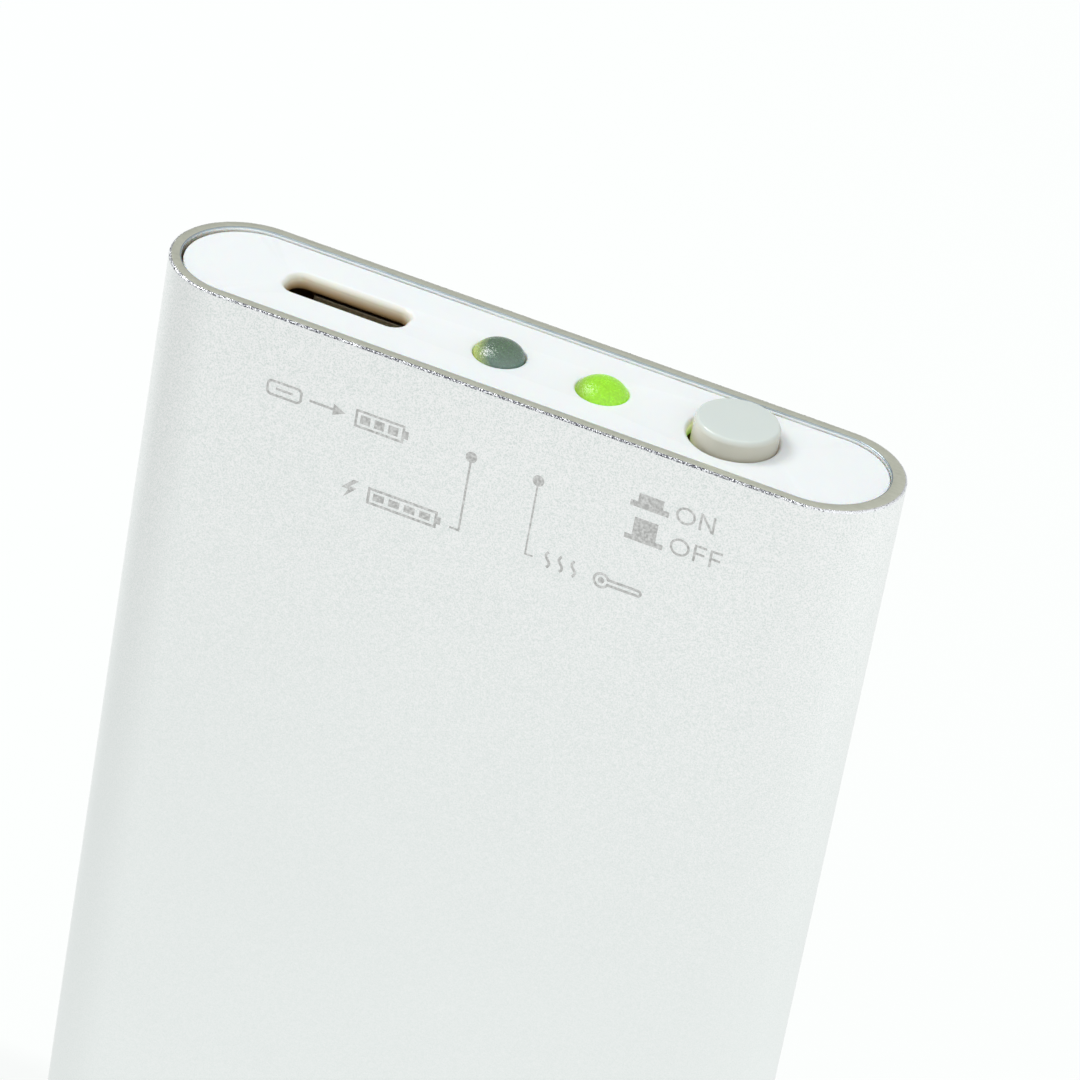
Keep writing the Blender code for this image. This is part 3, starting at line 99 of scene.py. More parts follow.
class Tree:
    """A node tree in the making."""

    def __init__(self, tree: bpy.types.NodeTree, prefix: str = "ShaderNode") -> None:
        """Take up a tree.

        Args:
            tree: The tree to write in.
            prefix: What most of its nodes' type names start with.
        """
        self.tree = tree
        self.prefix = prefix

    def put(self, value: object, target: Socket) -> None:
        """Link a socket or a node's first output to a target, or set a plain value on it.

        Args:
            value: The socket, node or plain value.
            target: The input that it goes to.
        """
        source = value.outputs[0] if isinstance(value, Node) else value
        if isinstance(source, Socket):
            self.tree.links.new(source, target)
        else:
            target.default_value = source

    def node(self, kind: str, sockets: dict | None = None, **settings: object) -> Node:
        """Add a node.

        Args:
            kind: Its type, without the tree's usual prefix.
            sockets: Values or links for its inputs, by name or number.
            **settings: Its properties.

        Returns:
            The node.
        """
        made = self.tree.nodes.new(kind if "Node" in kind else self.prefix + kind)
        for key, value in settings.items():
            setattr(made, key, value)
        for key, value in (sockets or {}).items():
            self.put(value, made.inputs[key])
        return made

    def sums(self, way: str, first: object, second: object = 0.0) -> Socket:
        """Reckon with two values or sockets."""
        return self.node("ShaderNodeMath", {0: first, 1: second}, operation=way).outputs[0]

    def plus(self, first: object, second: object) -> Socket:
        """Add two values."""
        return self.sums("ADD", first, second)

    def less(self, first: object, second: object) -> Socket:
        """Take the second value from the first."""
        return self.sums("SUBTRACT", first, second)

    def times(self, first: object, second: object) -> Socket:
        """Multiply two values."""
        return self.sums("MULTIPLY", first, second)

    def axes(self, place: object) -> bpy.types.NodeOutputs:
        """A place's values along X, Y and Z."""
        return self.node("ShaderNodeSeparateXYZ", {0: place}).outputs

    def spread(self, source: Socket, low: float, high: float, start: float = 0.3, end: float = 0.7) -> Socket:
        """Map the stretch of a value from start to end onto another, held at both ends.

        Args:
            source: The value.
            low: What it becomes at the start.
            high: What it becomes at the end.
            start: Where its stretch starts.
            end: Where its stretch ends.

        Returns:
            The new value.
        """
        sockets = {"Value": source, "From Min": start, "From Max": end, "To Min": low, "To Max": high}
        return self.node("MapRange", sockets, clamp=True).outputs["Result"]

    def blend(self, amount: object, first: object, second: object, way: str = "MIX") -> Socket:
        """Mix two colours by an amount.

        Args:
            amount: The second colour's share, from 0 to 1.
            first: A colour or a socket.
            second: A colour or a socket.
            way: How they are mixed.

        Returns:
            The mixed colour.
        """
        made = self.node("Mix", data_type="RGBA", blend_type=way)
        for number, value in ((0, amount), (6, first), (7, second)):
            self.put((*value, 1.0) if isinstance(value, tuple) else value, made.inputs[number])
        return made.outputs[2]


class Recipe(Tree):
    """A material in the making: a node tree around one Principled shader."""

    def __init__(self, name: str) -> None:
        """Start an empty recipe.

        Args:
            name: The material's name.
        """
        self.material = bpy.data.materials.new(name)
        self.material.use_nodes = True
        super().__init__(self.material.node_tree)
        self.shader = self.tree.nodes["Principled BSDF"]
        self.place = self.node("TexCoord").outputs["Object"]

    def shade(self, **sockets: object) -> None:
        """Set or link the shader's inputs, named with underscores for spaces."""
        for key, value in sockets.items():
            self.put(value, self.shader.inputs[key.replace("_", " ")])

    def noise(
        self, size: float, detail: float = 2.0, seed: float = 0.0, squeeze: Place | None = None
    ) -> Socket:
        """A cloudy pattern.

        Args:
            size: The width of a speck, in millimetres.
            detail: How many finer layers it has.
            seed: Which of the patterns it is.
            squeeze: How much narrower the specks are along each axis.

        Returns:
            The pattern, from 0 to 1.
        """
        place = self.node("Mapping", {"Vector": self.place, "Scale": squeeze}) if squeeze else self.place
        sockets = {"Vector": place, "Scale": 1.0 / (size * MM), "Detail": detail, "W": seed}
        return self.node("TexNoise", sockets, noise_dimensions="4D").outputs["Fac"]

    def tint(self, source: Socket, *stops: Stop) -> Socket:
        """Turn a value into a colour along a ramp.

        Args:
            source: The value, from 0 to 1.
            *stops: Places along the ramp and their colours, in linear light.

        Returns:
            The colour.
        """
        made = self.node("ValToRGB", {"Fac": source})
        ramp = made.color_ramp
        while len(ramp.elements) < len(stops):
            ramp.elements.new(1.0)
        for element, (position, colour) in zip(ramp.elements, stops):
            element.position = position
            element.color = (*colour, 1.0)
        return made.outputs["Color"]

    def along(self, axis: str, start: float, end: float) -> Socket:
        """How far a point lies between two places on an axis, in millimetres, as 0 to 1."""
        return self.spread(self.axes(self.place)[axis], 0.0, 1.0, start * MM, end * MM)

    def skin(self, pattern: Socket, roughness: Point, depth: float, strength: float = 1.0) -> None:
        """Break up the surface's sheen and raise it by one pattern.

        Args:
            pattern: The pattern.
            roughness: The roughness at its low and its high end.
            depth: How far it raises the surface, in millimetres.
            strength: How much of that is felt.
        """
        self.shade(Roughness=self.spread(pattern, *roughness))
        self.bumps(pattern, depth, strength)

    def bumps(self, source: Socket, depth: float, strength: float = 1.0) -> None:
        """Raise the surface by a pattern whose depth is in millimetres."""
        sockets = {"Strength": strength, "Distance": depth * MM, "Height": source}
        self.shade(Normal=self.node("Bump", sockets).outputs["Normal"])


@dataclass(frozen=True)
class Finish:
    """What every finish has: a name, and a recipe that is made once."""

    name: str

    def write(self, recipe: Recipe) -> None:
        """Fill in the recipe."""

    def make(self) -> Material:
        """Make the finish.

        Returns:
            Its material.
        """
        recipe = Recipe(self.name)
        self.write(recipe)
        return recipe.material


@dataclass(frozen=True)
class BlastedAluminium(Finish):
    """Bead-blasted, clear-anodised aluminium, whose grain is crispest near the control end."""

    name: str = "blasted_aluminium"
    dark: Colour = (0.73, 0.795, 0.775)
    light: Colour = WHITE
    grain: float = 0.075
    coarse_grain: float = 0.2
    coarse_share: float = 0.15
    level: float = 0.46
    contrast: Point = (0.34, 0.56)
    soft_to_crisp: Point = (60.0, 99.0)
    crisp_power: float = 1.5
    least_crisp: float = 0.18
    cloud: float = 6.0
    roughness: Point = (0.42, 0.5)
    depth: float = 0.02
    strength: float = 0.35

    def write(self, recipe: Recipe) -> None:
        """Fill in the recipe.

        Args:
            recipe: The recipe.
        """
        recipe.shade(Metallic=1.0)
        grain = recipe.noise(self.grain)
        coarse = recipe.noise(self.coarse_grain, seed=3.0)
        share = self.coarse_share
        mixed = recipe.plus(recipe.times(grain, 1.0 - share), recipe.times(coarse, share))
        crisp = recipe.sums("POWER", recipe.along("Z", *self.soft_to_crisp), self.crisp_power)
        near = recipe.plus(recipe.times(crisp, 1.0 - self.least_crisp), self.least_crisp)
        speck = recipe.times(recipe.plus(mixed, -self.level), near)
        tone = recipe.spread(recipe.plus(speck, self.level), 0.0, 1.0, *self.contrast)
        recipe.shade(
            Base_Color=recipe.tint(tone, (0.0, self.dark), (1.0, self.light)),
            Roughness=recipe.spread(recipe.noise(self.cloud, seed=7.0), *self.roughness),
        )
        recipe.bumps(recipe.times(grain, near), self.depth, self.strength)


@dataclass(frozen=True)
class CutEdge(Finish):
    """Aluminium that a saw or a reamer has left bare."""

    dark: Colour
    light: Colour
    roughness: Point
    pitting: float
    streak: float = 0.5
    squeeze: Place = (0.4, 2.0, 1.0)
    pit: float = 0.13

    def write(self, recipe: Recipe) -> None:
        """Fill in the recipe.

        Args:
            recipe: The recipe.
        """
        streaks = recipe.noise(self.streak, 3.0, 2.0, self.squeeze)
        tone = recipe.tint(recipe.spread(streaks, 0.0, 1.0), (0.0, self.dark), (1.0, self.light))
        recipe.shade(Metallic=1.0, Base_Color=tone)
        recipe.skin(recipe.noise(self.pit, seed=5.0), self.roughness, self.pitting)


@dataclass(frozen=True)
class PaintedGlintEdge(Finish):
    """The torn outer edge of a sawn rim, with painted glints and painted dark reflections: dark nicks between
    bright facets, painted brightest at its left end and with fewer dark nicks at its right end.
    """

    name: str = "torn_edge_painted_glints"
    # dark, middle and light are painted reflection: the nicks and facets are coloured dark and bright in
    # place of what real facets would reflect.
    dark: Colour = (0.09, 0.09, 0.115)
    middle: Colour = (0.5, 0.52, 0.54)
    light: Colour = (0.95, 0.97, 1.0)
    nick: float = 0.065
    bright_end: Point = (-14.0, -18.5)
    calm_end: Point = (16.0, 20.0)
    painted_glint_lift: float = 0.05
    dark_reflection_fade_lift: float = 0.14
    stops: tuple[float, float, float] = (0.46, 0.515, 0.565)
    roughness: Point = (0.4, 0.2)
    depth: float = 0.05

    def write(self, recipe: Recipe) -> None:
        """Fill in the recipe.

        Args:
            recipe: The recipe.
        """
        nicks_and_glints = recipe.noise(self.nick, seed=6.0)
        # Painted glints: the edge turns brighter towards its left end, and its painted dark reflections fade
        # out towards its right end.
        painted_glint_rise = recipe.times(recipe.along("X", *self.bright_end), self.painted_glint_lift)
        dark_reflection_fade = recipe.times(recipe.along("X", *self.calm_end), self.dark_reflection_fade_lift)
        glint_and_nick_level = recipe.plus(nicks_and_glints, recipe.plus(painted_glint_rise, dark_reflection_fade))
        tone = recipe.tint(glint_and_nick_level, *zip(self.stops, (self.dark, self.middle, self.light)))
        recipe.shade(Metallic=1.0, Base_Color=tone)
        recipe.skin(nicks_and_glints, self.roughness, self.depth)


@dataclass(frozen=True)
class PaintedSpillZone:
    """A stretch of a cap whose cut-outs get painted light: a tint and an emitted glow that stand in for the
    lamps' light spilling up from below.
    """

    span: Point
    # pale and deep are the painted light's colours near the face and deep in the cut-outs; glow is the
    # strength of its painted emitted light.
    pale: Colour
    deep: Colour
    glow: float
    ease: float = 0.4

    def within(self, recipe: Recipe) -> Socket:
        """Whether a point is in the stretch.

        Args:
            recipe: The recipe that asks.

        Returns:
            The answer, from 0 to 1 over the eased ends.
        """
        left, right = self.span
        from_left = recipe.along("X", left - self.ease, left)
        return recipe.times(from_left, recipe.along("X", right + self.ease, right))


@dataclass(frozen=True)
class GlossyShell(Finish):
    """Glossy moulded plastic with a little subsurface scattering; its cut-outs get painted shade that turns
    warm and dark with depth, and painted light in the zones.
    """

    # stops: painted shade, from the face's white down to near black with depth between face_z and deep_z;
    # zones: painted light spill.
    stops: tuple[Stop, ...]
    face_z: float
    deep_z: float
    zones: tuple[PaintedSpillZone, ...] = ()
    zone_stops: Point = (0.3, 0.9)
    glow_stretch: Point = (0.08, 0.4)
    glow_radius: float = 0.5
    cloud: float = 3.5
    cloud_tone: Colour = (0.985, 0.985, 0.985)
    ripple: float = 0.9
    ripple_depth: float = 0.002

    def write(self, recipe: Recipe) -> None:
        """Fill in the recipe.

        Args:
            recipe: The recipe.
        """
        # Painted shade darkens and warms the colour with depth; each zone swaps in its painted light and adds
        # a painted glow.
        down = recipe.along("Z", self.face_z, self.deep_z)
        painted_shade_and_spill = recipe.tint(down, *self.stops)
        glow: Socket | None = None
        for zone in self.zones:
            within = zone.within(recipe)
            lit = recipe.tint(down, self.stops[0], *zip(self.zone_stops, (zone.pale, zone.deep)))
            painted_shade_and_spill = recipe.blend(within, painted_shade_and_spill, lit)
            deep = recipe.times(within, recipe.spread(down, 0.0, zone.glow, *self.glow_stretch))
            glow = recipe.plus(glow, deep) if glow else deep
        if glow:
            recipe.shade(Emission_Color=painted_shade_and_spill, Emission_Strength=glow)
        cloud = recipe.tint(recipe.noise(self.cloud), (0.3, self.cloud_tone), (0.7, WHITE))
        recipe.shade(
            Base_Color=recipe.blend(1.0, painted_shade_and_spill, cloud, "MULTIPLY"),
            Roughness=0.22,
            Subsurface_Weight=0.35,
            Subsurface_Radius=(1.0, 0.62, 0.4),
            Subsurface_Scale=self.glow_radius * MM,
            Specular_IOR_Level=0.45,
        )
        recipe.bumps(recipe.noise(self.ripple, 1.0, 4.0), self.ripple_depth, 0.4)


@dataclass(frozen=True)
class LampLens(Finish):
    """Frosted, tinted lens of a round lamp, with painted light: its own tint on the side towards the studio
    lamp, and a tint that changes with height elsewhere.
    """

    centre_x: float
    # near is the painted light on the side towards the studio lamp; far and crown are the tints low and high
    # away from it.
    near: Colour
    far: Colour
    crown: Colour
    glow: Colour
    glow_strength: float
    refraction: float
    radius: float = 1.5
    foot_z: float = 97.0
    waist_z: float = 97.7
    top_z: float = 98.6
    crown_shift: float = 0.35
    near_to_far: Point = (0.16, 0.6)
    frost: float = 0.13
    frost_tone: Colour = (0.7, 0.7, 0.7)
    roughness: Point = (0.16, 0.3)
    depth: float = 0.06
    glow_radius: float = 0.5

    def write(self, recipe: Recipe) -> None:
        """Fill in the recipe.

        Args:
            recipe: The recipe.
        """
        # Painted light: the near colour covers the lower left, towards the studio lamp, and the far and crown
        # colours the rest.
        across = recipe.along("X", self.centre_x - self.radius, self.centre_x + self.radius)
        height = recipe.tint(recipe.along("Z", self.foot_z, self.top_z), (0.1, self.far), (1.0, self.crown))
        rise = recipe.along("Z", self.waist_z, self.top_z)
        side = recipe.plus(across, recipe.times(rise, self.crown_shift))
        ramp = recipe.blend(recipe.spread(side, 0.0, 1.0, *self.near_to_far), self.near, height)
        frost = recipe.noise(self.frost, 3.0, 1.0)
        veil = recipe.tint(frost, (0.35, self.frost_tone), (0.65, WHITE))
        recipe.shade(
            Base_Color=recipe.blend(1.0, ramp, veil, "MULTIPLY"),
            Specular_IOR_Level=1.0,
            IOR=self.refraction,
            Subsurface_Weight=0.3,
            Subsurface_Radius=(0.5, 1.0, 0.3),
            Subsurface_Scale=self.glow_radius * MM,
            Emission_Color=(*self.glow, 1.0),
            Emission_Strength=self.glow_strength,
        )
        recipe.skin(frost, self.roughness, self.depth)


@dataclass(frozen=True)
class MouldedPlastic(Finish):
    """Plain moulded plastic, with a faint cloud and a satin skin."""

    dark: Colour
    light: Colour
    roughness: Point = (0.35, 0.5)
    cloud: float = 2.2
    ripple: float = 0.35
    ripple_depth: float = 0.003

    def write(self, recipe: Recipe) -> None:
        """Fill in the recipe.

        Args:
            recipe: The recipe.
        """
        cloud = recipe.noise(self.cloud, 3.0)
        recipe.shade(Base_Color=recipe.tint(cloud, (0.3, self.dark), (0.7, self.light)))
        recipe.skin(recipe.noise(self.ripple, seed=2.0), self.roughness, self.ripple_depth, 0.5)


@dataclass(frozen=True)
class ButtonPlastic(Finish):
    """Pale grey glossy plastic with painted light and shade: its side is painted warmer and darker than its
    crown, palest on the left towards the lamp and darkest towards its foot.
    """

    crown_z: float
    centre_x: float
    # Painted light and shade: crown over side, the lamp-lit left side, and the shaded foot.
    crown: Colour = (0.665, 0.73, 0.70)
    lit_side_painted: Colour = (0.66, 0.65, 0.55)
    side: Colour = (0.53, 0.525, 0.45)
    foot: Colour = (0.47, 0.455, 0.38)
    height: float = 1.4
    reach: float = 2.4
    turn: float = 0.25
    start: float = 0.01
    side_stops: Point = (0.08, 0.5)
    glow_radius: float = 0.4
    roughness: Point = (0.13, 0.19)
    ripple: float = 0.35
    ripple_depth: float = 0.002

    def write(self, recipe: Recipe) -> None:
        """Fill in the recipe.

        Args:
            recipe: The recipe.
        """
        # Painted shade darkens the side towards the foot; painted light makes its left side palest.
        down = recipe.along("Z", self.crown_z, self.crown_z - self.height)
        across = recipe.along("X", self.centre_x - self.reach, self.centre_x + self.reach)
        side = recipe.tint(across, *zip(self.side_stops, (self.lit_side_painted, self.side)))
        skirt = recipe.blend(recipe.spread(down, 0.0, 1.0, self.turn, 1.0), side, self.foot)
        recipe.shade(
            Base_Color=recipe.blend(recipe.spread(down, 0.0, 1.0, self.start, self.turn), self.crown, skirt),
            Subsurface_Weight=0.2,
            Subsurface_Radius=(1.0, 0.8, 0.6),
            Subsurface_Scale=self.glow_radius * MM,
        )
        recipe.skin(recipe.noise(self.ripple, seed=2.0), self.roughness, self.ripple_depth, 0.5)


@dataclass(frozen=True)
class PrintedInk(Finish):
    """Grey pad-printed ink, a little broken by the grain under it."""

    name: str = "printed_grey_ink"
    dark: Colour = (0.38, 0.385, 0.375)
    light: Colour = (0.65, 0.66, 0.65)
    speck: float = 0.14
    roughness: Point = (0.5, 0.7)
    depth: float = 0.01

    def write(self, recipe: Recipe) -> None:
        """Fill in the recipe.

        Args:
            recipe: The recipe.
        """
        grain = recipe.noise(self.speck, 3.0)
        tone = recipe.tint(grain, (0.36, self.dark), (0.66, self.light))
        recipe.shade(Specular_IOR_Level=0.3, Base_Color=tone)
        recipe.skin(grain, self.roughness, self.depth, 0.5)


@dataclass(frozen=True)
class Metal(Finish):
    """Plated, tinned or folded metal with a broken sheen."""

    dark: Colour
    light: Colour
    roughness: Point = (0.25, 0.42)
    grain: Grain = Grain.FINE

    def write(self, recipe: Recipe) -> None:
        """Fill in the recipe.

        Args:
            recipe: The recipe.
        """
        size, detail, squeeze, depth = self.grain.value
        pattern = recipe.noise(size, detail, squeeze=squeeze)
        recipe.shade(Metallic=1.0, Base_Color=recipe.tint(pattern, (0.3, self.dark), (0.7, self.light)))
        recipe.skin(pattern, self.roughness, depth, 0.6)


@dataclass(frozen=True)
class Foam(Finish):
    """Open-cell foam."""

    name: str = "cell_foam"
    dark: Colour = (0.05, 0.05, 0.055)
    light: Colour = (0.24, 0.24, 0.25)
    cell: float = 0.5
    depth: float = 0.15

    def write(self, recipe: Recipe) -> None:
        """Fill in the recipe.

        Args:
            recipe: The recipe.
        """
        cells = recipe.node("TexVoronoi", {"Vector": recipe.place, "Scale": 1.0 / (self.cell * MM)})
        distance = cells.outputs["Distance"]
        recipe.shade(Roughness=0.95, Base_Color=recipe.tint(distance, (0.1, self.dark), (0.7, self.light)))
        recipe.bumps(distance, self.depth)


@dataclass(frozen=True)
class HeatingFilm(Finish):
    """Amber film over a folded copper track."""

    name: str = "amber_heating_film"
    film: Colour = (0.42, 0.17, 0.025)
    track: Colour = (0.62, 0.3, 0.1)
    pitch: float = 1.6
    cloud: float = 1.5
    roughness: Point = (0.25, 0.4)
    depth: float = 0.01

    def write(self, recipe: Recipe) -> None:
        """Fill in the recipe.

        Args:
            recipe: The recipe.
        """
        sockets = {"Vector": recipe.place, "Scale": 0.314 / (self.pitch * MM)}
        bands = recipe.node("TexWave", sockets, bands_direction="Z", wave_profile="SIN").outputs["Fac"]
        recipe.shade(
            Base_Color=recipe.tint(bands, (0.45, self.film), (0.55, self.track)),
            Roughness=recipe.spread(recipe.noise(self.cloud), *self.roughness),
            Coat_Weight=0.4,
            Coat_Roughness=0.15,
        )
        recipe.bumps(bands, self.depth, 0.5)


@dataclass(frozen=True)
class SolderMask(Finish):
    """Green lacquer over copper tracks on a circuit board."""

    name: str = "green_board_lacquer"
    lacquer: Colour = (0.012, 0.12, 0.05)
    track: Colour = (0.03, 0.24, 0.1)
    pitch: float = 1.2
    cloud: float = 0.8
    roughness: Point = (0.3, 0.45)
    depth: float = 0.02

    def write(self, recipe: Recipe) -> None:
        """Fill in the recipe.

        Args:
            recipe: The recipe.
        """
        turned_place = recipe.node("Mapping", {"Vector": recipe.place, "Rotation": (math.pi / 2, 0.0, 0.0)})
        sockets = {"Vector": turned_place, "Scale": 1.0 / (self.pitch * MM), "Mortar Size": 0.12}
        for name, level in (("Color1", 0.0), ("Color2", 0.1), ("Mortar", 1.0)):
            sockets[name] = (level, level, level, 1.0)
        tracks = recipe.node("TexBrick", sockets, offset=0.5).outputs["Color"]
        recipe.shade(
            Base_Color=recipe.tint(tracks, (0.2, self.lacquer), (0.8, self.track)),
            Roughness=recipe.spread(recipe.noise(self.cloud), *self.roughness),
            Coat_Weight=0.3,
            Coat_Roughness=0.2,
        )
        recipe.bumps(tracks, self.depth, 0.5)


DRAWN_STEEL = Metal("drawn_spring_steel", (0.5, 0.5, 0.5), (0.7, 0.7, 0.7), (0.2, 0.35), Grain.STREAKED)


def set_down(name: str, data: bpy.types.ID, place: Matrix | None = None) -> Object:
    """Put an object with its data in the scene.

    Args:
        name: The object's name.
        data: Its mesh, curve, lamp or camera.
        place: Where it goes, or none for the origin.

    Returns:
        The object.
    """
    made = bpy.data.objects.new(name, data)
    made.matrix_world = place or Matrix()
    bpy.context.scene.collection.objects.link(made)
    return made


@dataclass
class Workshop:
    """Turns shapes into finished pieces that ride on a body."""

    finishes: dict[str, Material] = field(default_factory=dict)

    def material(self, finish: Finish) -> Material:
        """The material of a finish, made once.

        Args:
            finish: The finish.

        Returns:
            Its material.
        """
        if finish.name not in self.finishes:
            self.finishes[finish.name] = finish.make()
        return self.finishes[finish.name]

    def piece(
        self,
        name: str,
        mesh: Mesh,
        body: Body,
        finish: Finish | None,
        replaces: tuple[str, ...] = (),
        stretch: tuple[Vector, Vector] | None = None,
    ) -> None:
        """Put a mesh in the scene as a piece.

        Args:
            name: The piece's name.
            mesh: Its mesh, in place.
            body: The body it rides on.
            finish: Its finish, or none if the mesh has its materials.
            replaces: The CAD nodes that it stands for.
            stretch: Where a piece that joins the case and the button leaves the one and reaches the other.
                When given, the piece is left unattached with its place baked in; the two ends are not used.
        """
        made = set_down(name, mesh)
        if finish:
            mesh.materials.clear()
            mesh.materials.append(self.material(finish))
        if stretch:
            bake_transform(made)
        else:
            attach(made, body.value)
        if replaces:
            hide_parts(*replaces)
        LOG.info("%s: %d faces on %s", name, len(mesh.polygons), body.value)


def evaluated(maker: Object, name: str) -> Mesh:
    """Turn an object's evaluated shape into a plain mesh in place, and drop the object.

    Args:
        maker: A curve or mesh object, with its modifiers.
        name: The new mesh's name.

    Returns:
        The mesh, in world coordinates.
    """
    bpy.context.view_layer.update()
    graph = bpy.context.evaluated_depsgraph_get()
    mesh = bpy.data.meshes.new_from_object(maker.evaluated_get(graph))
    mesh.transform(maker.matrix_world)
    mesh.name = name
    bpy.data.objects.remove(maker, do_unlink=True)
    return mesh


def saved(shape: bmesh.types.BMesh, mesh: Mesh) -> Mesh:
    """Write a shape into a mesh and free it.

    Args:
        shape: The shape.
        mesh: The mesh that takes it.

    Returns:
        The same mesh.
    """
    shape.to_mesh(mesh)
    shape.free()
    return mesh


def welded(mesh: Mesh) -> Mesh:
    """Join a closed mesh's doubled points and turn its faces outwards.

    Args:
        mesh: The mesh to change.

    Returns:
        The same mesh.
    """
    shape = bmesh.new()
    shape.from_mesh(mesh)
    bmesh.ops.remove_doubles(shape, verts=shape.verts, dist=WELD)
    bmesh.ops.recalc_face_normals(shape, faces=shape.faces)
    return saved(shape, mesh)


def smoothed(mesh: Mesh, sharp: float = SHARP_ANGLE) -> Mesh:
    """Smooth a mesh between edges that are sharper than an angle in degrees.

    Args:
        mesh: The mesh to change.
        sharp: The least angle of a sharp edge.

    Returns:
        The same mesh.
    """
    mesh.shade_smooth()
    mesh.set_sharp_from_angle(angle=math.radians(sharp))
    return mesh


def weighted(mesh: Mesh) -> Mesh:
    """Give a mesh normals that follow its large faces, so its flats stay flat beside small rounds.

    Args:
        mesh: The mesh to weigh.

    Returns:
        A new mesh.
    """
    maker = set_down("weighing", mesh)
    rule = maker.modifiers.new("normals", "WEIGHTED_NORMAL")
    rule.keep_sharp = True
    rule.weight = 100
    return evaluated(maker, mesh.name)


def assembled(meshes: list[Mesh], name: str) -> Mesh:
    """Put several meshes' shells into one smoothed mesh.

    Args:
        meshes: The shells.
        name: The new mesh's name.

    Returns:
        The mesh.
    """
    shape = bmesh.new()
    for mesh in meshes:
        shape.from_mesh(mesh)
    return weighted(smoothed(saved(shape, bpy.data.meshes.new(name))))


def arc(centre: Point, radius: float, start: float, end: float, steps: int) -> Outline:
    """Points along an arc given in degrees, both ends included.

    Args:
        centre: The arc's centre.
        radius: Its radius.
        start: The angle it starts at.
        end: The angle it ends at.
        steps: How many straight steps it has.

    Returns:
        The points.
    """
    turns = [math.radians(start + (end - start) * step / steps) for step in range(steps + 1)]
    return [(centre[0] + radius * math.cos(turn), centre[1] + radius * math.sin(turn)) for turn in turns]


def stadium(centre: Point, width: float, thickness: float, steps: int = 48) -> Outline:
    """An outline with two straight sides and half-round ends.

    Args:
        centre: Its centre.
        width: Its width over the ends.
        thickness: Its width across the sides.
        steps: How many straight steps an end has.

    Returns:
        The outline.
    """
    radius = thickness / 2
    reach = width / 2 - radius
    right, left = (centre[0] + reach, centre[1]), (centre[0] - reach, centre[1])
    return arc(right, radius, -90, 90, steps) + arc(left, radius, 90, 270, steps)


def circle(centre: Point, radius: float, steps: int = 64) -> Outline:
    """A closed circle's points."""
    return arc(centre, radius, 0, 360, steps)[:-1]


def box(left: float, top: float, right: float, bottom: float) -> Outline:
    """A rectangle from its edges."""
    return [(left, bottom), (right, bottom), (right, top), (left, top)]


def rounded_box(centre: Point, width: float, height: float, radius: float, steps: int = 10) -> Outline:
    """A rectangle with rounded corners.

    Args:
        centre: Its centre.
        width: Its width.
        height: Its height.
        radius: The corners' radius.
        steps: How many straight steps a corner has.

    Returns:
        The outline.
    """
    reach, rise = width / 2 - radius, height / 2 - radius
    outline: Outline = []
    corners = ((reach, -rise, -90), (reach, rise, 0), (-reach, rise, 90), (-reach, -rise, 180))
    for across, along, turn in corners:
        outline += arc((centre[0] + across, centre[1] + along), radius, turn, turn + 90, steps)
    return [point for number, point in enumerate(outline) if math.dist(point, outline[number - 1]) > 1e-6]


def rounded_outline(corners: Outline, radius: float, steps: int = 5) -> Outline:
    """A closed polygon with every corner rounded by the same radius.

    Args:
        corners: The polygon's corners.
        radius: The corners' radius.
        steps: How many straight steps a corner has.

    Returns:
        The outline.
    """
    outline: Outline = []
    for number, corner in enumerate(corners):
        here = Vector(corner)
        before = (Vector(corners[number - 1]) - here).normalized()
        after = (Vector(corners[(number + 1) % len(corners)]) - here).normalized()
        half = before.angle(after) / 2
        centre = here + (before + after).normalized() * radius / math.sin(half)
        start, end = (here + side * radius / math.tan(half) - centre for side in (before, after))
        for step in range(steps + 1):
            spoke = start.lerp(end, step / steps).normalized() * radius
            outline.append(tuple(centre + spoke))
    return outline


def poly_curve(name: str, paths: list[list[Point | Place]], flat: bool = False) -> bpy.types.Curve:
    """A curve with straight steps through points in millimetres, closed and filled if it is flat.

    Args:
        name: The curve's name.
        paths: Its paths.
        flat: Whether it is a flat outline.

    Returns:
        The curve.
    """
    curve = bpy.data.curves.new(name, "CURVE")
    curve.dimensions = "2D" if flat else "3D"
    for path in paths:
        spline = curve.splines.new("POLY")
        spline.points.add(len(path) - 1)
        for point, place in zip(spline.points, path):
            across, along, up = (*place, 0.0)[:3]
            point.co = (across * MM, along * MM, up * MM, 1.0)
        spline.use_cyclic_u = flat
    return curve


def slab(
    name: str,
    outlines: list[Outline],
    thickness: float,
    place: Matrix,
    round_radius: float = 0.0,
    round_steps: int = 4,
) -> Mesh:
    """A flat plate with holes whose rims are all rounded over.

    Args:
        name: The mesh's name.
        outlines: Closed outlines in millimetres, the outer one and the holes.
        thickness: The plate's thickness in millimetres.
        place: Where the plate goes, in metres. The plate's middle is at z = 0 before that.
        round_radius: The radius of the rounded rims.
        round_steps: How many faces a quarter round has, less one.

    Returns:
        The mesh, in place.
    """
    curve = poly_curve(name, outlines, flat=True)
    curve.fill_mode = "BOTH"
    curve.extrude = (thickness / 2 - round_radius) * MM
    curve.bevel_depth = round_radius * MM
    curve.bevel_resolution = round_steps
    curve.offset = -round_radius * MM
    return evaluated(set_down(name, curve, place), name)


def level_slab(
    name: str, outlines: list[Outline], ends: Point, round_radius: float = 0.0, round_steps: int = 4
) -> Mesh:
    """A level slab between two heights, with its doubled points welded.

    Args:
        name: The mesh's name.
        outlines: The outer outline and the holes.
        ends: The two heights.
        round_radius: The radius of the rounded rims.
        round_steps: How many faces a quarter round has, less one.

    Returns:
        The mesh, in place.
    """
    low, high = sorted(ends)
    place = Matrix.Translation((0.0, 0.0, (low + high) / 2 * MM))
    return welded(slab(name, outlines, high - low, place, round_radius, round_steps))


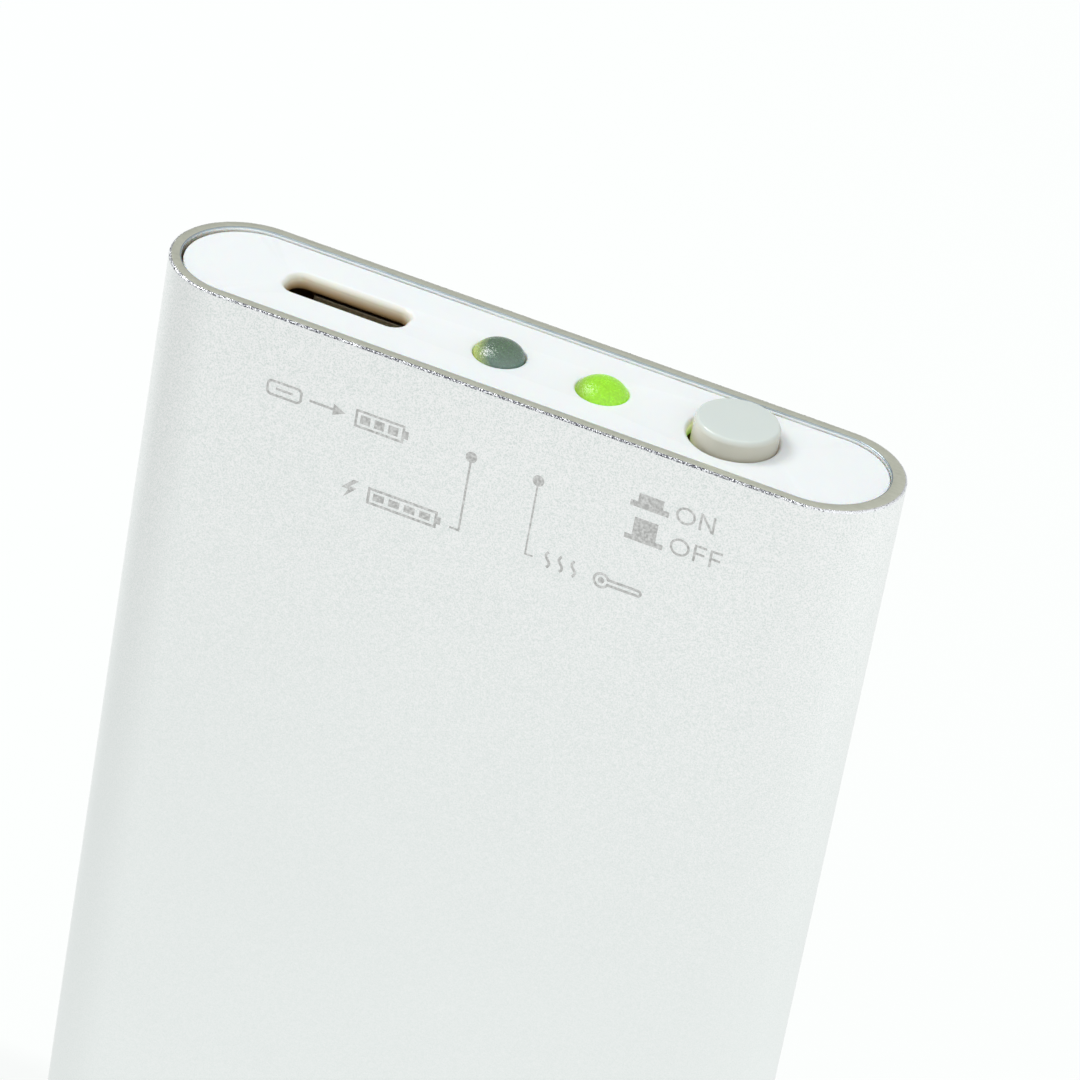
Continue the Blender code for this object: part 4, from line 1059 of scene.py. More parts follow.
def turned(name: str, profile: Outline, centre: Place, steps: int = 96) -> Mesh:
    """A solid turned about Z.

    Args:
        name: The mesh's name.
        profile: Radius and height pairs from the top centre to the bottom centre, in millimetres.
        centre: The axis's foot, in millimetres.
        steps: How many sides it has.

    Returns:
        The mesh, in place.
    """
    shape = bmesh.new()
    origin = Vector(centre)
    rings: list[list[bmesh.types.BMVert]] = []
    for radius, height in profile:
        angles = [2 * math.pi * step / steps for step in range(steps if radius else 1)]
        spokes = [Vector((radius * math.cos(angle), radius * math.sin(angle), height)) for angle in angles]
        rings.append([shape.verts.new((origin + spoke) * MM) for spoke in spokes])
    for upper, lower in zip(rings, rings[1:]):
        for step in range(steps):
            after = (step + 1) % steps
            if len(upper) == 1:
                corners = (upper[0], lower[step], lower[after])
            elif len(lower) == 1:
                corners = (upper[after], upper[step], lower[0])
            else:
                corners = (upper[step], lower[step], lower[after], upper[after])
            shape.faces.new(corners)
    return smoothed(welded(saved(shape, bpy.data.meshes.new(name))))


class NodeShape(Tree):
    """A Geometry Nodes tree in the making, with named sizes."""

    def __init__(self, name: str) -> None:
        """Start a tree that takes and gives geometry.

        Args:
            name: The tree's name.
        """
        super().__init__(bpy.data.node_groups.new(name, "GeometryNodeTree"), "GeometryNode")
        for way in ("INPUT", "OUTPUT"):
            self.tree.interface.new_socket("Geometry", in_out=way, socket_type="NodeSocketGeometry")
        self.inputs = self.tree.nodes.new("NodeGroupInput")
        self.outputs = self.tree.nodes.new("NodeGroupOutput")
        self.identifiers: dict[str, str] = {}

    def size(self, name: str, kind: str = "NodeSocketFloat") -> Socket:
        """Add a named input.

        Args:
            name: The input's name.
            kind: Its socket's type.

        Returns:
            Its socket inside the tree.
        """
        made = self.tree.interface.new_socket(name, in_out="INPUT", socket_type=kind)
        self.identifiers[name] = made.identifier
        return self.inputs.outputs[name]

    def box(self, width: Socket, height: Socket) -> Node:
        """A rectangle as a curve."""
        return self.node("CurvePrimitiveQuadrilateral", {"Width": width, "Height": height})

    def rounded(self, curve: Node, radius: Socket, count: int) -> Node:
        """The curve with its corners rounded."""
        sockets = {"Curve": curve, "Radius": radius, "Count": count, "Limit Radius": True}
        return self.node("FilletCurve", sockets, mode="POLY")

    def build(self, name: str, sizes: dict[str, float], maker: Object) -> Mesh:
        """Run the tree with its sizes and return the shape as a plain mesh.

        Args:
            name: The mesh's name.
            sizes: A value for each named input.
            maker: An object whose geometry goes in.

        Returns:
            The mesh.
        """
        modifier = maker.modifiers.new(name, "NODES")
        modifier.node_group = self.tree
        for key, value in sizes.items():
            modifier[self.identifiers[key]] = value
        return evaluated(maker, name)


@dataclass
class Sleeve:
    """The extruded sleeve: one wall section swept round the body, with worn rims whose outer edges carry
    painted glints and painted dark reflections.
    """

    width: float = 43.97
    thickness: float = 9.07
    length: float = 98.0
    wall: float = 0.685
    edge: float = 0.125
    bore_edge: float = 0.08
    extra_right: float = 0.22
    step: float = 0.08
    wear: float = 0.05
    seed: int = 7

    def sizes(self) -> dict[str, float]:
        """The lengths, in metres."""
        return {item.name: getattr(self, item.name) * MM for item in fields(self) if item.name != "seed"}

    def tree(self, finishes: dict[str, Material]) -> NodeShape:
        """The tree that sweeps the wall and dresses its faces.

        Args:
            finishes: The materials of the face, the bore, the sawn rim and its two edges.

        Returns:
            The tree.
        """
        shape = NodeShape("swept_sleeve")
        lengths = (shape.size(name) for name in self.sizes())
        width, thickness, length, wall, edge, bore_edge, extra_right, step, wear = lengths
        seed = shape.size("seed", "NodeSocketInt")
        nearly_half, round_steps, edge_steps = 0.4999, 40, 4
        nick, torn_level, outer_share = 0.12 * MM, 0.62, 0.38

        middle_thickness = shape.less(thickness, wall)
        ring = shape.box(shape.less(width, wall), middle_thickness)
        ring = shape.rounded(ring, shape.times(middle_thickness, nearly_half), round_steps)
        path = shape.node("ResampleCurve", {"Curve": ring, "Length": step}, mode="LENGTH")
        is_out = shape.sums("GREATER_THAN", shape.axes(shape.node("InputPosition"))["X"], 0.0)
        radius = shape.plus(shape.times(is_out, shape.less(edge, bore_edge)), bore_edge)
        section = shape.rounded(shape.box(wall, length), radius, edge_steps)
        swept = shape.node("CurveToMesh", {"Curve": path, "Profile Curve": section})
        half = shape.times(length, 0.5)
        lift = shape.node("ShaderNodeCombineXYZ", {"Z": half})
        swept = shape.node("Transform", {"Geometry": swept, "Translation": lift})

        place = shape.node("InputPosition")
        axes = shape.axes(place)
        reach = shape.times(shape.less(width, thickness), 0.5)
        beyond = shape.sums("MAXIMUM", shape.less(shape.sums("ABSOLUTE", axes["X"]), reach), 0.0)
        squares = shape.plus(shape.sums("POWER", beyond, 2.0), shape.sums("POWER", axes["Y"], 2.0))
        out = shape.sums("SQRT", squares)
        wall_middle = shape.times(middle_thickness, 0.5)
        is_inner = shape.sums("LESS_THAN", out, wall_middle)
        bore = shape.less(width, shape.times(wall, 2.0))
        narrower = shape.less(1.0, shape.sums("DIVIDE", extra_right, bore))
        squeeze = shape.node("ShaderNodeCombineXYZ", {"X": narrower, "Y": 1.0, "Z": 1.0})
        shift = shape.node("ShaderNodeCombineXYZ", {"X": shape.times(extra_right, -0.5)})
        moved = shape.node("ShaderNodeVectorMath", {0: place, 1: squeeze, 2: shift}, operation="MULTIPLY_ADD")
        swept = shape.node("SetPosition", {"Geometry": swept, "Selection": is_inner, "Position": moved})

        from_middle = shape.sums("ABSOLUTE", shape.less(axes["Z"], half))
        near_end = shape.sums("GREATER_THAN", from_middle, shape.less(half, edge))
        outer = shape.times(wall, outer_share)
        off_face = shape.sums("GREATER_THAN", shape.less(out, wall_middle), outer)
        speckle = {"Scale": 1.0 / nick, "Detail": 3.0, "W": seed}
        pattern = shape.node("ShaderNodeTexNoise", speckle, noise_dimensions="4D")
        normal = shape.node("InputNormal")
        push = shape.times(shape.less(pattern, torn_level), wear)
        offset = shape.node("ShaderNodeVectorMath", {0: normal, "Scale": push}, operation="SCALE")
        chosen = shape.times(near_end, off_face)
        worn = shape.node("SetPosition", {"Geometry": swept, "Selection": chosen, "Offset": offset})

        slope = shape.sums("ABSOLUTE", shape.axes(normal)["Z"])
        steep, flat = 0.12, 0.985
        is_slant = shape.times(shape.sums("GREATER_THAN", slope, steep), shape.sums("LESS_THAN", slope, flat))
        faces = {
            "face": True,
            "bore": is_inner,
            "rim": shape.sums("GREATER_THAN", slope, flat),
            "edge": shape.times(is_slant, shape.sums("GREATER_THAN", out, wall_middle)),
            "bore_edge": shape.times(is_slant, is_inner),
        }
        current = shape.node("SetShadeSmooth", {"Geometry": worn})
        for part, selection in faces.items():
            sockets = {"Geometry": current, "Selection": selection, "Material": finishes[part]}
            current = shape.node("SetMaterial", sockets)
        shape.put(shape.node("RealizeInstances", {0: current}), shape.outputs.inputs[0])
        return shape

    def make(self, shop: Workshop) -> None:
        """Build and dress the sleeve.

        Args:
            shop: Where pieces are made.
        """
        reamed = CutEdge("reamed_aluminium", (0.95, 0.97, 0.985), (0.98, 0.99, 1.0), (0.3, 0.36), 0.0004)
        sawn = CutEdge("sawn_aluminium", (0.866, 0.895, 0.75), (0.976, 1.0, 0.857), (0.32, 0.42), 0.003)
        # Painted reflection and shade: the eased inner edge is coloured a darker blue-grey than bare
        # aluminium, for the sky seen in it and the shade line where the rim meets the cap.
        eased = CutEdge("eased_inner_edge_painted_shade", (0.38, 0.45, 0.48), (0.5, 0.58, 0.62), (0.3, 0.45), 0.004)
        finishes = {"face": BlastedAluminium(), "bore": reamed, "rim": sawn, "edge": PaintedGlintEdge()}
        finishes["bore_edge"] = eased
        tree = self.tree({part: shop.material(finish) for part, finish in finishes.items()})
        maker = set_down("sleeve_skin", bpy.data.meshes.new("sleeve_skin"))
        mesh = weighted(welded(tree.build("sleeve_skin", {**self.sizes(), "seed": self.seed}, maker)))
        shop.piece("sleeve_skin", mesh, Body.CASE, None, ("sleeve",))


@dataclass
class Opening:
    """A cut-out in a cap: a rounded box, or a circle where the corner is half its width."""

    centre: Point
    width: float
    height: float
    corner: float
    lip: float
    steps: int = 18

    def outline(self, grow: float) -> Outline:
        """The cut-out's outline, grown on every side."""
        width, height = self.width + 2 * grow, self.height + 2 * grow
        return rounded_box(self.centre, width, height, self.corner + grow, self.steps)


def round_opening(centre: Point, radius: float, lip: float) -> Opening:
    """A round hole."""
    return Opening(centre, 2 * radius, 2 * radius, radius, lip)


@dataclass
class EndCap:
    """A moulded cap that sits just inside one end of the sleeve."""

    name: str
    node: str
    face_z: float
    inward: int
    openings: list[Opening] = field(default_factory=list)
    collars: Outline = field(default_factory=list)
    centre: Point = (-0.04, -0.02)
    width: float = 42.04
    thickness: float = 7.46
    close: float = 0.08
    plate: float = 0.92
    lap: float = 0.1
    skirt: float = 2.6
    skirt_wall: float = 0.6
    lip: float = 0.09
    lip_steps: int = 6
    collar_radii: Point = (1.7, 2.3)
    collar_end: float = 94.75

    def rim(self, grow: float) -> Outline:
        """The plate's outer outline, grown on every side."""
        reach = 2 * (self.close + grow)
        return stadium(self.centre, self.width + reach, self.thickness + reach)

    def shell(self) -> Mesh:
        """The cap's plate as one closed shell, every edge of its face rounded by its own lip.

        Returns:
            The plate.
        """
        shape = bmesh.new()
        faces_at: list[list[bmesh.types.BMEdge]] = [[], []]
        borders = [(self.rim, self.lip, -1.0)]
        borders += [(opening.outline, opening.lip, 1.0) for opening in self.openings]
        for outline, lip, way in borders:
            turns = [math.radians(90 / self.lip_steps * step) for step in range(self.lip_steps + 1)]
            levels = [(way * lip * (1 - math.sin(turn)), lip * (1 - math.cos(turn))) for turn in turns]
            rings = []
            for grow, depth in (*levels, (0.0, self.plate)):
                height = self.face_z + self.inward * depth
                places = [(across * MM, along * MM, height * MM) for across, along in outline(grow)]
                rings.append([shape.verts.new(place) for place in places])
            after = [*range(1, len(rings[0])), 0]
            for upper, lower in zip(rings, rings[1:]):
                for here, there in enumerate(after):
                    shape.faces.new((upper[here], upper[there], lower[there], lower[here]))
            for edges, ring in zip(faces_at, (rings[0], rings[-1])):
                edges += [shape.edges.get((ring[here], ring[there])) for here, there in enumerate(after)]
        for edges in faces_at:
            bmesh.ops.triangle_fill(shape, use_beauty=True, edges=edges, normal=Z)
        return welded(saved(shape, bpy.data.meshes.new(self.name + "_plate")))

    def make(self, shop: Workshop, finish: GlossyShell) -> None:
        """Build and dress the cap.

        Args:
            shop: Where the piece is made.
            finish: The cap's finish.
        """
        outer, inner = (self.rim(grow) for grow in (-self.close, -self.close - self.skirt_wall))
        under = self.face_z + self.inward * (self.plate - self.lap)
        end = self.face_z + self.inward * (self.plate + self.skirt)
        shells = [self.shell(), level_slab(self.name + "_skirt", [outer, inner], (under, end))]
        for centre in self.collars:
            bore, wall = (circle(centre, radius) for radius in self.collar_radii)
            shells.append(level_slab(self.name + "_collar", [wall, bore], (under, self.collar_end)))
        mesh = assembled(shells, self.name)
        shop.piece(self.name, mesh, Body.CASE, finish, (self.node,))


@dataclass
class Lamp:
    """A round-topped lamp with a frosted lens and a flange at its foot."""

    name: str
    node: str
    slot: str
    lens: LampLens
    length: float
    crown_height: float
    foot_z: float = 93.25
    flange_radius: float = 1.9
    flange_height: float = 1.0
    flange_round: float = 0.15
    crown_steps: int = 28
    flange_steps: int = 4
    sides: int = 72

    def make(self, shop: Workshop) -> None:
        """Build and dress the lamp.

        Args:
            shop: Where pieces are made.
        """
        foot, radius, ease = self.length - self.crown_height, self.lens.radius, self.flange_round
        quarter = arc((0.0, 0.0), 1.0, 90, 0, self.crown_steps)
        crown = [(across * radius, foot + up * self.crown_height) for across, up in quarter]
        profile = [(0.0, self.length), *crown[1:], (radius, self.flange_height)]
        shoulder = (self.flange_radius - ease, self.flange_height - ease)
        profile += arc(shoulder, ease, 90, 0, self.flange_steps)
        profile += [(self.flange_radius, 0.0), (0.0, 0.0)]
        mesh = turned(self.name, profile, (self.lens.centre_x, 0.0, self.foot_z), self.sides)
        shop.piece(self.name, mesh, Body.CASE, self.lens, (self.node,))


@dataclass
class Button:
    """The latching button's cap, with a softly rounded crown and the flange that keeps it in."""

    centre: Point = (12.1, 0.04)
    radius: float = 2.41
    crown_z: float = 98.945
    flat_share: float = 0.45
    crease: float = 0.16
    slope: float = 60.0
    shoulder: float = 0.24
    edge: float = 0.2
    flange_z: Point = (94.4, 95.0)
    flange_half: Point = (3.7, 2.55)
    flange_corner: float = 0.4
    flange_round: float = 0.08
    lap: float = 0.1
    crease_steps: int = 5
    edge_steps: int = 8
    flange_steps: int = 2
    sides: int = 128

    def crown(self, top: float) -> Outline:
        """The crown's outline from its flat, over a tight crease and a soft slope, to its side.

        Args:
            top: The crown's height over the button's foot.

        Returns:
            Radius and height pairs.
        """
        turn = math.radians(90.0 - self.slope)
        inner = (self.radius - self.shoulder, top - self.crease)
        points = arc(inner, self.crease, 90, 90 - self.slope, self.crease_steps)
        start = points[-1]
        reach = self.radius - self.edge * (1 - math.cos(turn)) - start[0]
        foot = start[1] - reach * math.tan(math.radians(self.slope))
        centre = (self.radius - self.edge, foot - self.edge * math.sin(turn))
        return points + arc(centre, self.edge, 90 - self.slope, 0, self.edge_steps)

    def make(self, shop: Workshop) -> None:
        """Build and dress the button.

        Args:
            shop: Where pieces are made.
        """
        foot = self.flange_z[1] - self.lap
        crown = self.crown_z - foot
        profile = [(0.0, crown), (self.radius * self.flat_share, crown), *self.crown(crown)]
        profile += [(self.radius, 0.0), (0.0, 0.0)]
        cap = turned("button_crown", profile, (*self.centre, foot), self.sides)
        half_x, half_y = self.flange_half
        outline = rounded_box((self.centre[0], 0.0), 2 * half_x, 2 * half_y, self.flange_corner)
        flange = level_slab("button_flange", [outline], self.flange_z, self.flange_round, self.flange_steps)
        mesh = assembled([cap, flange], "button_top")
        grey = ButtonPlastic("button_grey_plastic", self.crown_z, self.centre[0])
        shop.piece("button_top", mesh, Body.BUTTON, grey, ("button_cap",))


@dataclass
class ReturnSpring:
    """The coil spring under the button, built at one length; the real one shortens as the button goes down.
    """

    wire: float = 0.35
    turns: int = 5
    closed_pitch: float = 0.36
    steps: int = 32
    wire_steps: int = 3

    def make(self, shop: Workshop) -> None:
        """Build the spring where its solid stands, with a closed turn at each end, and dress it.

        Args:
            shop: Where pieces are made.
        """
        low, high = (Vector(corner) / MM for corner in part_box("switch_spring"))
        centre = (low + high) / 2
        radius = (high.x - low.x - self.wire) / 2
        foot, head = low.z + self.wire / 2, high.z - self.wire / 2
        open_pitch = (head - foot - 2 * self.closed_pitch) / (self.turns - 2)
        path = []
        for step in range(self.turns * self.steps + 1):
            turn = step / self.steps
            angle = math.tau * turn
            active = min(max(turn - 1, 0), self.turns - 2)
            height = foot + self.closed_pitch * (turn - active) + open_pitch * active
            path.append((centre.x + radius * math.cos(angle), centre.y + radius * math.sin(angle), height))
        curve = poly_curve("return_spring", [path])
        curve.bevel_depth = self.wire / 2 * MM
        curve.bevel_resolution = self.wire_steps
        curve.use_fill_caps = True
        mesh = smoothed(welded(evaluated(set_down("return_spring", curve), "return_spring")))
        heights = (foot + self.closed_pitch, head - self.closed_pitch)
        ends = tuple(Vector((centre.x, centre.y, height)) * MM for height in heights)
        shop.piece("return_spring", mesh, Body.CASE, DRAWN_STEEL, ("switch_spring",), ends)


@dataclass
class ChargingSocket:
    """The folded steel shell of the charging socket, with a flared flap on each side of its mouth."""

    centre_x: float = -11.2
    half_wide: float = 3.7
    half_narrow: float = 2.85
    half_depth: float = 1.225
    shoulder: float = 0.12
    sheet: float = 0.25
    fold_radius: float = 0.35
    back_z: float = 91.4
    rim_z: float = 96.0
    mouth_z: float = 96.56
    narrowing: float = 0.8
    flare: float = 0.15
    lap: float = 0.15
    bend_rise: float = 0.08
    lean: float = 0.04
    tip_drop: float = 0.06
    tip_round: float = 0.03
    side_round: float = 0.04
    rim_round: float = 0.02
    round_steps: int = 2
    back_stand: float = 0.15
    back_flap: Point = (-13.85, -8.1)
    front_flap: Point = (-14.5, -7.9)
    side_flap: Point = (-1.0, 0.05)

    def fold(self, inset: float) -> Outline:
        """The shell's section, set in from its outside.

        Args:
            inset: How far it is set in.

        Returns:
            The outline.
        """
        wide, deep = self.half_wide - inset, self.half_depth - inset
        narrow = self.half_narrow - inset * self.narrowing
        shape = [(-wide, -deep), (wide, -deep), (wide, self.shoulder), (narrow, deep), (-narrow, deep)]
        shape.append((-wide, self.shoulder))
        placed = [(self.centre_x + across, along) for across, along in shape]
        return rounded_outline(placed, self.fold_radius - inset)

    def flap(self, name: str, outward: Vector, reach: float, span: Point) -> Mesh:
        """A flap that leans outwards from the mouth.

        Args:
            name: The mesh's name.
            outward: The direction that it leans to.
            reach: How far out the shell's side lies.
            span: Where the flap begins and ends along that side.

        Returns:
            The mesh, in place.
        """
        sheet, flare, lean = self.sheet, self.flare, self.lean
        low, bend, high = self.rim_z - self.lap, self.rim_z + self.bend_rise, self.mouth_z
        outline = [(-sheet, low), (0.0, low), (lean, bend), (flare, high - self.tip_drop)]
        outline += [(flare - sheet, high), (lean - sheet, bend + lean)]
        turn = Matrix((outward, Z, outward.cross(Z))).transposed().to_4x4()
        along, middle = (Y, X * self.centre_x) if outward.x else (X, Vector())
        centre = middle + outward * reach + along * (sum(span) / 2)
        place = Matrix.Translation(centre * MM) @ turn
        rounded = rounded_outline(outline, self.tip_round, self.round_steps)
        return slab(name, [rounded], span[1] - span[0], place, self.side_round, self.round_steps)

    def make(self, shop: Workshop) -> None:
        """Build and dress the socket's shell.

        Args:
            shop: Where pieces are made.
        """
        walls = [self.fold(0.0), self.fold(self.sheet)]
        heights = (self.back_z, self.rim_z)
        shells = [level_slab("socket_walls", walls, heights, self.rim_round, self.round_steps)]
        for side, outward, reach, span in (
            ("back", Y, self.half_depth + self.back_stand, self.back_flap),
            ("front", -Y, self.half_depth, self.front_flap),
            ("left", -X, self.half_wide, self.side_flap),
            ("right", X, self.half_wide, self.side_flap),
        ):
            shells.append(welded(self.flap(f"socket_{side}_flap", outward, reach, span)))
        mesh = assembled(shells, "socket_shell")
        # Painted shade: the steel is coloured a dark warm brown for the shade inside the slot and the warm
        # light through the white cap.
        steel = Metal("socket_steel_painted_shade", (0.36, 0.32, 0.235), (0.55, 0.49, 0.37), (0.28, 0.42))
        shop.piece("socket_shell", mesh, Body.CASE, steel, ("usb_shell",))


@dataclass
class FaceMarks:
    """The grey marks printed on the front, drawn flat in millimetres from the middle of the upper rim."""

    front_y: float = -4.535
    top_z: float = 98.0
    ink: float = 0.03
    proud: float = 0.012
    pen: float = 0.15
    letter_pen: float = 0.135
    dot_radius: float = 0.34
    gauge_z: float = -8.93

    def place(self) -> Matrix:
        """Turns a flat drawing onto the printed face."""
        middle = self.front_y - self.proud + self.ink / 2
        return Matrix.Translation((0.0, middle * MM, self.top_z * MM)) @ Matrix.Rotation(math.pi / 2, 4, "X")

    def leader(self, dot: Point, foot: float, line: float, hook: float) -> Outline:
        """A dot with a line down from it that ends in a short hook.

        Args:
            dot: The dot's centre.
            foot: The height of the hook.
            line: The line's width.
            hook: How far the hook reaches sideways, with its sign.

        Returns:
            The outline.
        """
        half = line / 2
        opening = math.degrees(math.asin(half / self.dot_radius))
        outline = arc(dot, self.dot_radius, -90 + opening, 270 - opening, 32)
        side = math.copysign(half, hook)
        near, far, end = dot[0] + side, dot[0] - side, dot[0] + hook
        down = [(far, foot - half), (end, foot - half), (end, foot + half), (near, foot + half)]
        return outline + (down[::-1] if hook < 0 else down)

    def letter_o(self, left: float, top: float, width: float, height: float) -> list[Outline]:
        """The outlines of a capital O.

        Args:
            left: Its left edge.
            top: Its upper edge.
            width: Its width.
            height: Its height.

        Returns:
            The outlines.
        """
        outlines = []
        for inset in (0.0, self.letter_pen):
            half_x, half_y = width / 2 - inset, height / 2 - inset
            ring = circle((0.0, 0.0), 1.0, 40)
            outlines.append([(left + width / 2 + x * half_x, top - height / 2 + y * half_y) for x, y in ring])
        return outlines

    def letter_n(self, left: float, top: float, width: float, height: float) -> Outline:
        """The outline of a capital N.

        Args:
            left: Its left edge.
            top: Its upper edge.
            width: Its width.
            height: Its height.

        Returns:
            The outline.
        """
        right, bottom, pen = left + width, top - height, self.letter_pen
        slant = pen * 1.15
        rise = slant * 1.2
        outline = [(left, bottom), (left + pen, bottom), (left + pen, top - rise), (right - slant, bottom)]
        outline += [(right, bottom), (right, top), (right - pen, top), (right - pen, bottom + rise)]
        return outline + [(left + slant, top), (left, top)]

    def letter_f(self, left: float, top: float, width: float, height: float) -> Outline:
        """The outline of a capital F.

        Args:
            left: Its left edge.
            top: Its upper edge.
            width: Its width.
            height: Its height.

        Returns:
            The outline.
        """
        foot, bar, pen = top - height, top - height * 0.45, self.letter_pen
        stem, arm, right = left + pen, left + width * 0.88, left + width
        outline = [(left, foot), (stem, foot), (stem, bar - pen), (arm, bar - pen), (arm, bar), (stem, bar)]
        return outline + [(stem, top - pen), (right, top - pen), (right, top), (left, top)]

    def standing_button(self, foot: float, ledge: float, top: float, right: float) -> Outline:
        """A button seen from the side, on its flange.

        Args:
            foot: The flange's lower edge.
            ledge: Its upper edge.
            top: The button's top.
            right: The button's right side.

        Returns:
            The outline.
        """
        start, left, end = 8.34, 8.76, 10.62
        outline = [(start, foot), (end, foot), (end, ledge), (right, ledge)]
        return outline + [(right, top), (left, top), (left, ledge), (start, ledge)]

    def switch_marks(self) -> list[Outline]:
        """The pressed and the standing button, each beside its word.

        Returns:
            The outlines.
        """
        first, second = -2.66, -4.66
        return [
            self.standing_button(-3.66, -3.32, -2.76, 10.24),
            self.standing_button(-5.76, -5.46, -4.3, 10.16),
            *self.letter_o(11.0, first, 1.16, 1.06),
            self.letter_n(12.4, first, 0.9, 1.04),
            *self.letter_o(11.0, second, 1.16, 1.08),
            self.letter_f(12.4, second, 0.72, 1.06),
            self.letter_f(13.35, second, 0.72, 1.06),
        ]

    def battery(
        self, left: float, top: float, width: float, height: float, pen: float, bars: int
    ) -> list[Outline]:
        """A lying battery with its charge shown as bars.

        Args:
            left: Its left edge.
            top: Its upper edge.
            width: Its width, with its contact.
            height: Its height.
            pen: The width of its lines.
            bars: How many bars it holds.

        Returns:
            The outlines.
        """
        nub = height * 0.22
        body, bottom, middle = width - nub, top - height, top - height / 2
        right = left + body
        case = [(left, bottom), (right, bottom), (right, middle - nub), (right + nub, middle - nub)]
        case += [(right + nub, middle + nub), (right, middle + nub), (right, top), (left, top)]
        marks = [case, box(left + pen, top - pen, right - pen, bottom + pen)]
        room = body - 2 * pen
        for number in range(bars):
            start, stop = (left + pen + room * (number + share) / (bars + 0.2) for share in (0.22, 0.92))
            marks.append(box(start, top - 2.1 * pen, stop, bottom + 2.1 * pen))
        return marks

    def socket_marks(self) -> list[Outline]:
        """A plug's mouth, an arrow and a battery, beside the charging slot.

        Returns:
            The outlines.
        """
        plug, width, height, pen, tongue = (-12.5, -4.42), 2.2, 1.0, 0.14, 0.07
        middle, half, wing = plug[1], pen / 2, 0.36
        tail, neck, tip = -10.95, -9.5, -8.75
        arrow = [(tail, middle - half), (neck, middle - half), (neck, middle - wing), (tip, middle)]
        arrow += [(neck, middle + wing), (neck, middle + half), (tail, middle + half)]
        return [
            rounded_box(plug, width, height, 0.32),
            rounded_box(plug, width - 2 * pen, height - 2 * pen, 0.2),
            box(-13.02, middle + tongue, -11.98, middle - tongue),
            arrow,
            *self.battery(-8.15, -3.86, 3.25, 1.12, pen, 3),
        ]

    def charging_marks(self) -> list[Outline]:
        """A bolt and a filling battery."""
        bolt = [(-7.62, -8.3), (-8.28, -8.98), (-7.86, -8.98), (-8.1, -9.56), (-7.36, -8.8), (-7.8, -8.8)]
        return [[*bolt, (-7.3, -8.3)], *self.battery(-6.7, -8.4, 4.5, 1.06, self.pen, 4)]

    def warming_marks(self) -> list[Outline]:
        """A thermometer lying on its side.

        Returns:
            The outlines.
        """
        bulb, end, radius, tube_half, core_half = (7.55, self.gauge_z), (9.75, self.gauge_z), 0.5, 0.24, 0.09
        opening = math.degrees(math.asin(tube_half / radius))
        outer = arc(bulb, radius, opening, 360 - opening, 28) + arc(end, tube_half, -90, 90, 12)
        core = arc(bulb, radius - self.pen, 14, 346, 24) + arc(end, core_half, -90, 90, 12)
        return [outer, core, circle(bulb, 0.19, 24)]

    def waves(self) -> list[Outline]:
        """The paths of three rising waves of heat.

        Returns:
            The paths.
        """
        start, pitch, sway, foot, height, steps = 4.3, 0.78, 0.13, -9.36, 0.98, 18
        shares = [step / steps for step in range(steps + 1)]
        return [
            [(left + sway * math.sin(math.tau * share), foot + height * share) for share in shares]
            for left in (start + number * pitch for number in range(3))
        ]

    def stroke_tree(self, ink: Material) -> NodeShape:
        """The tree that draws a flat stroke of ink along a path.

        Args:
            ink: The ink's material.

        Returns:
            The tree.
        """
        shape = NodeShape("ink_stroke")
        nib = shape.box(shape.size("pen"), shape.size("ink"))
        line = shape.node("SetCurveNormal", {0: shape.inputs})
        stroke = shape.node("CurveToMesh", {"Curve": line, "Profile Curve": nib, "Fill Caps": True})
        dressed = shape.node("SetMaterial", {0: shape.node("RealizeInstances", {0: stroke}), "Material": ink})
        shape.put(dressed, shape.outputs.inputs[0])
        return shape

    def make(self, shop: Workshop) -> None:
        """Build and dress every mark.

        Args:
            shop: Where pieces are made.
        """
        ink = PrintedInk()
        groups = {
            "socket_marks": self.socket_marks(),
            "charging_marks": self.charging_marks(),
            "warming_gauge_mark": self.warming_marks(),
            "switch_marks": self.switch_marks(),
            "charging_leader": [self.leader((-1.08, -4.3), -9.06, 0.12, -0.56)],
            "warming_leader": [self.leader((2.96, -4.26), -9.0, 0.1, 0.46)],
        }
        meshes = {name: slab(name, outlines, self.ink, self.place()) for name, outlines in groups.items()}
        name = "warming_waves_mark"
        paths = set_down(name, poly_curve(name, self.waves()), self.place())
        sizes = {"pen": self.pen * MM, "ink": self.ink * MM}
        meshes[name] = self.stroke_tree(shop.material(ink)).build(name, sizes, paths)
        for name, mesh in meshes.items():
            shop.piece(name, smoothed(welded(mesh), MARK_SHARP_ANGLE), Body.CASE, ink)


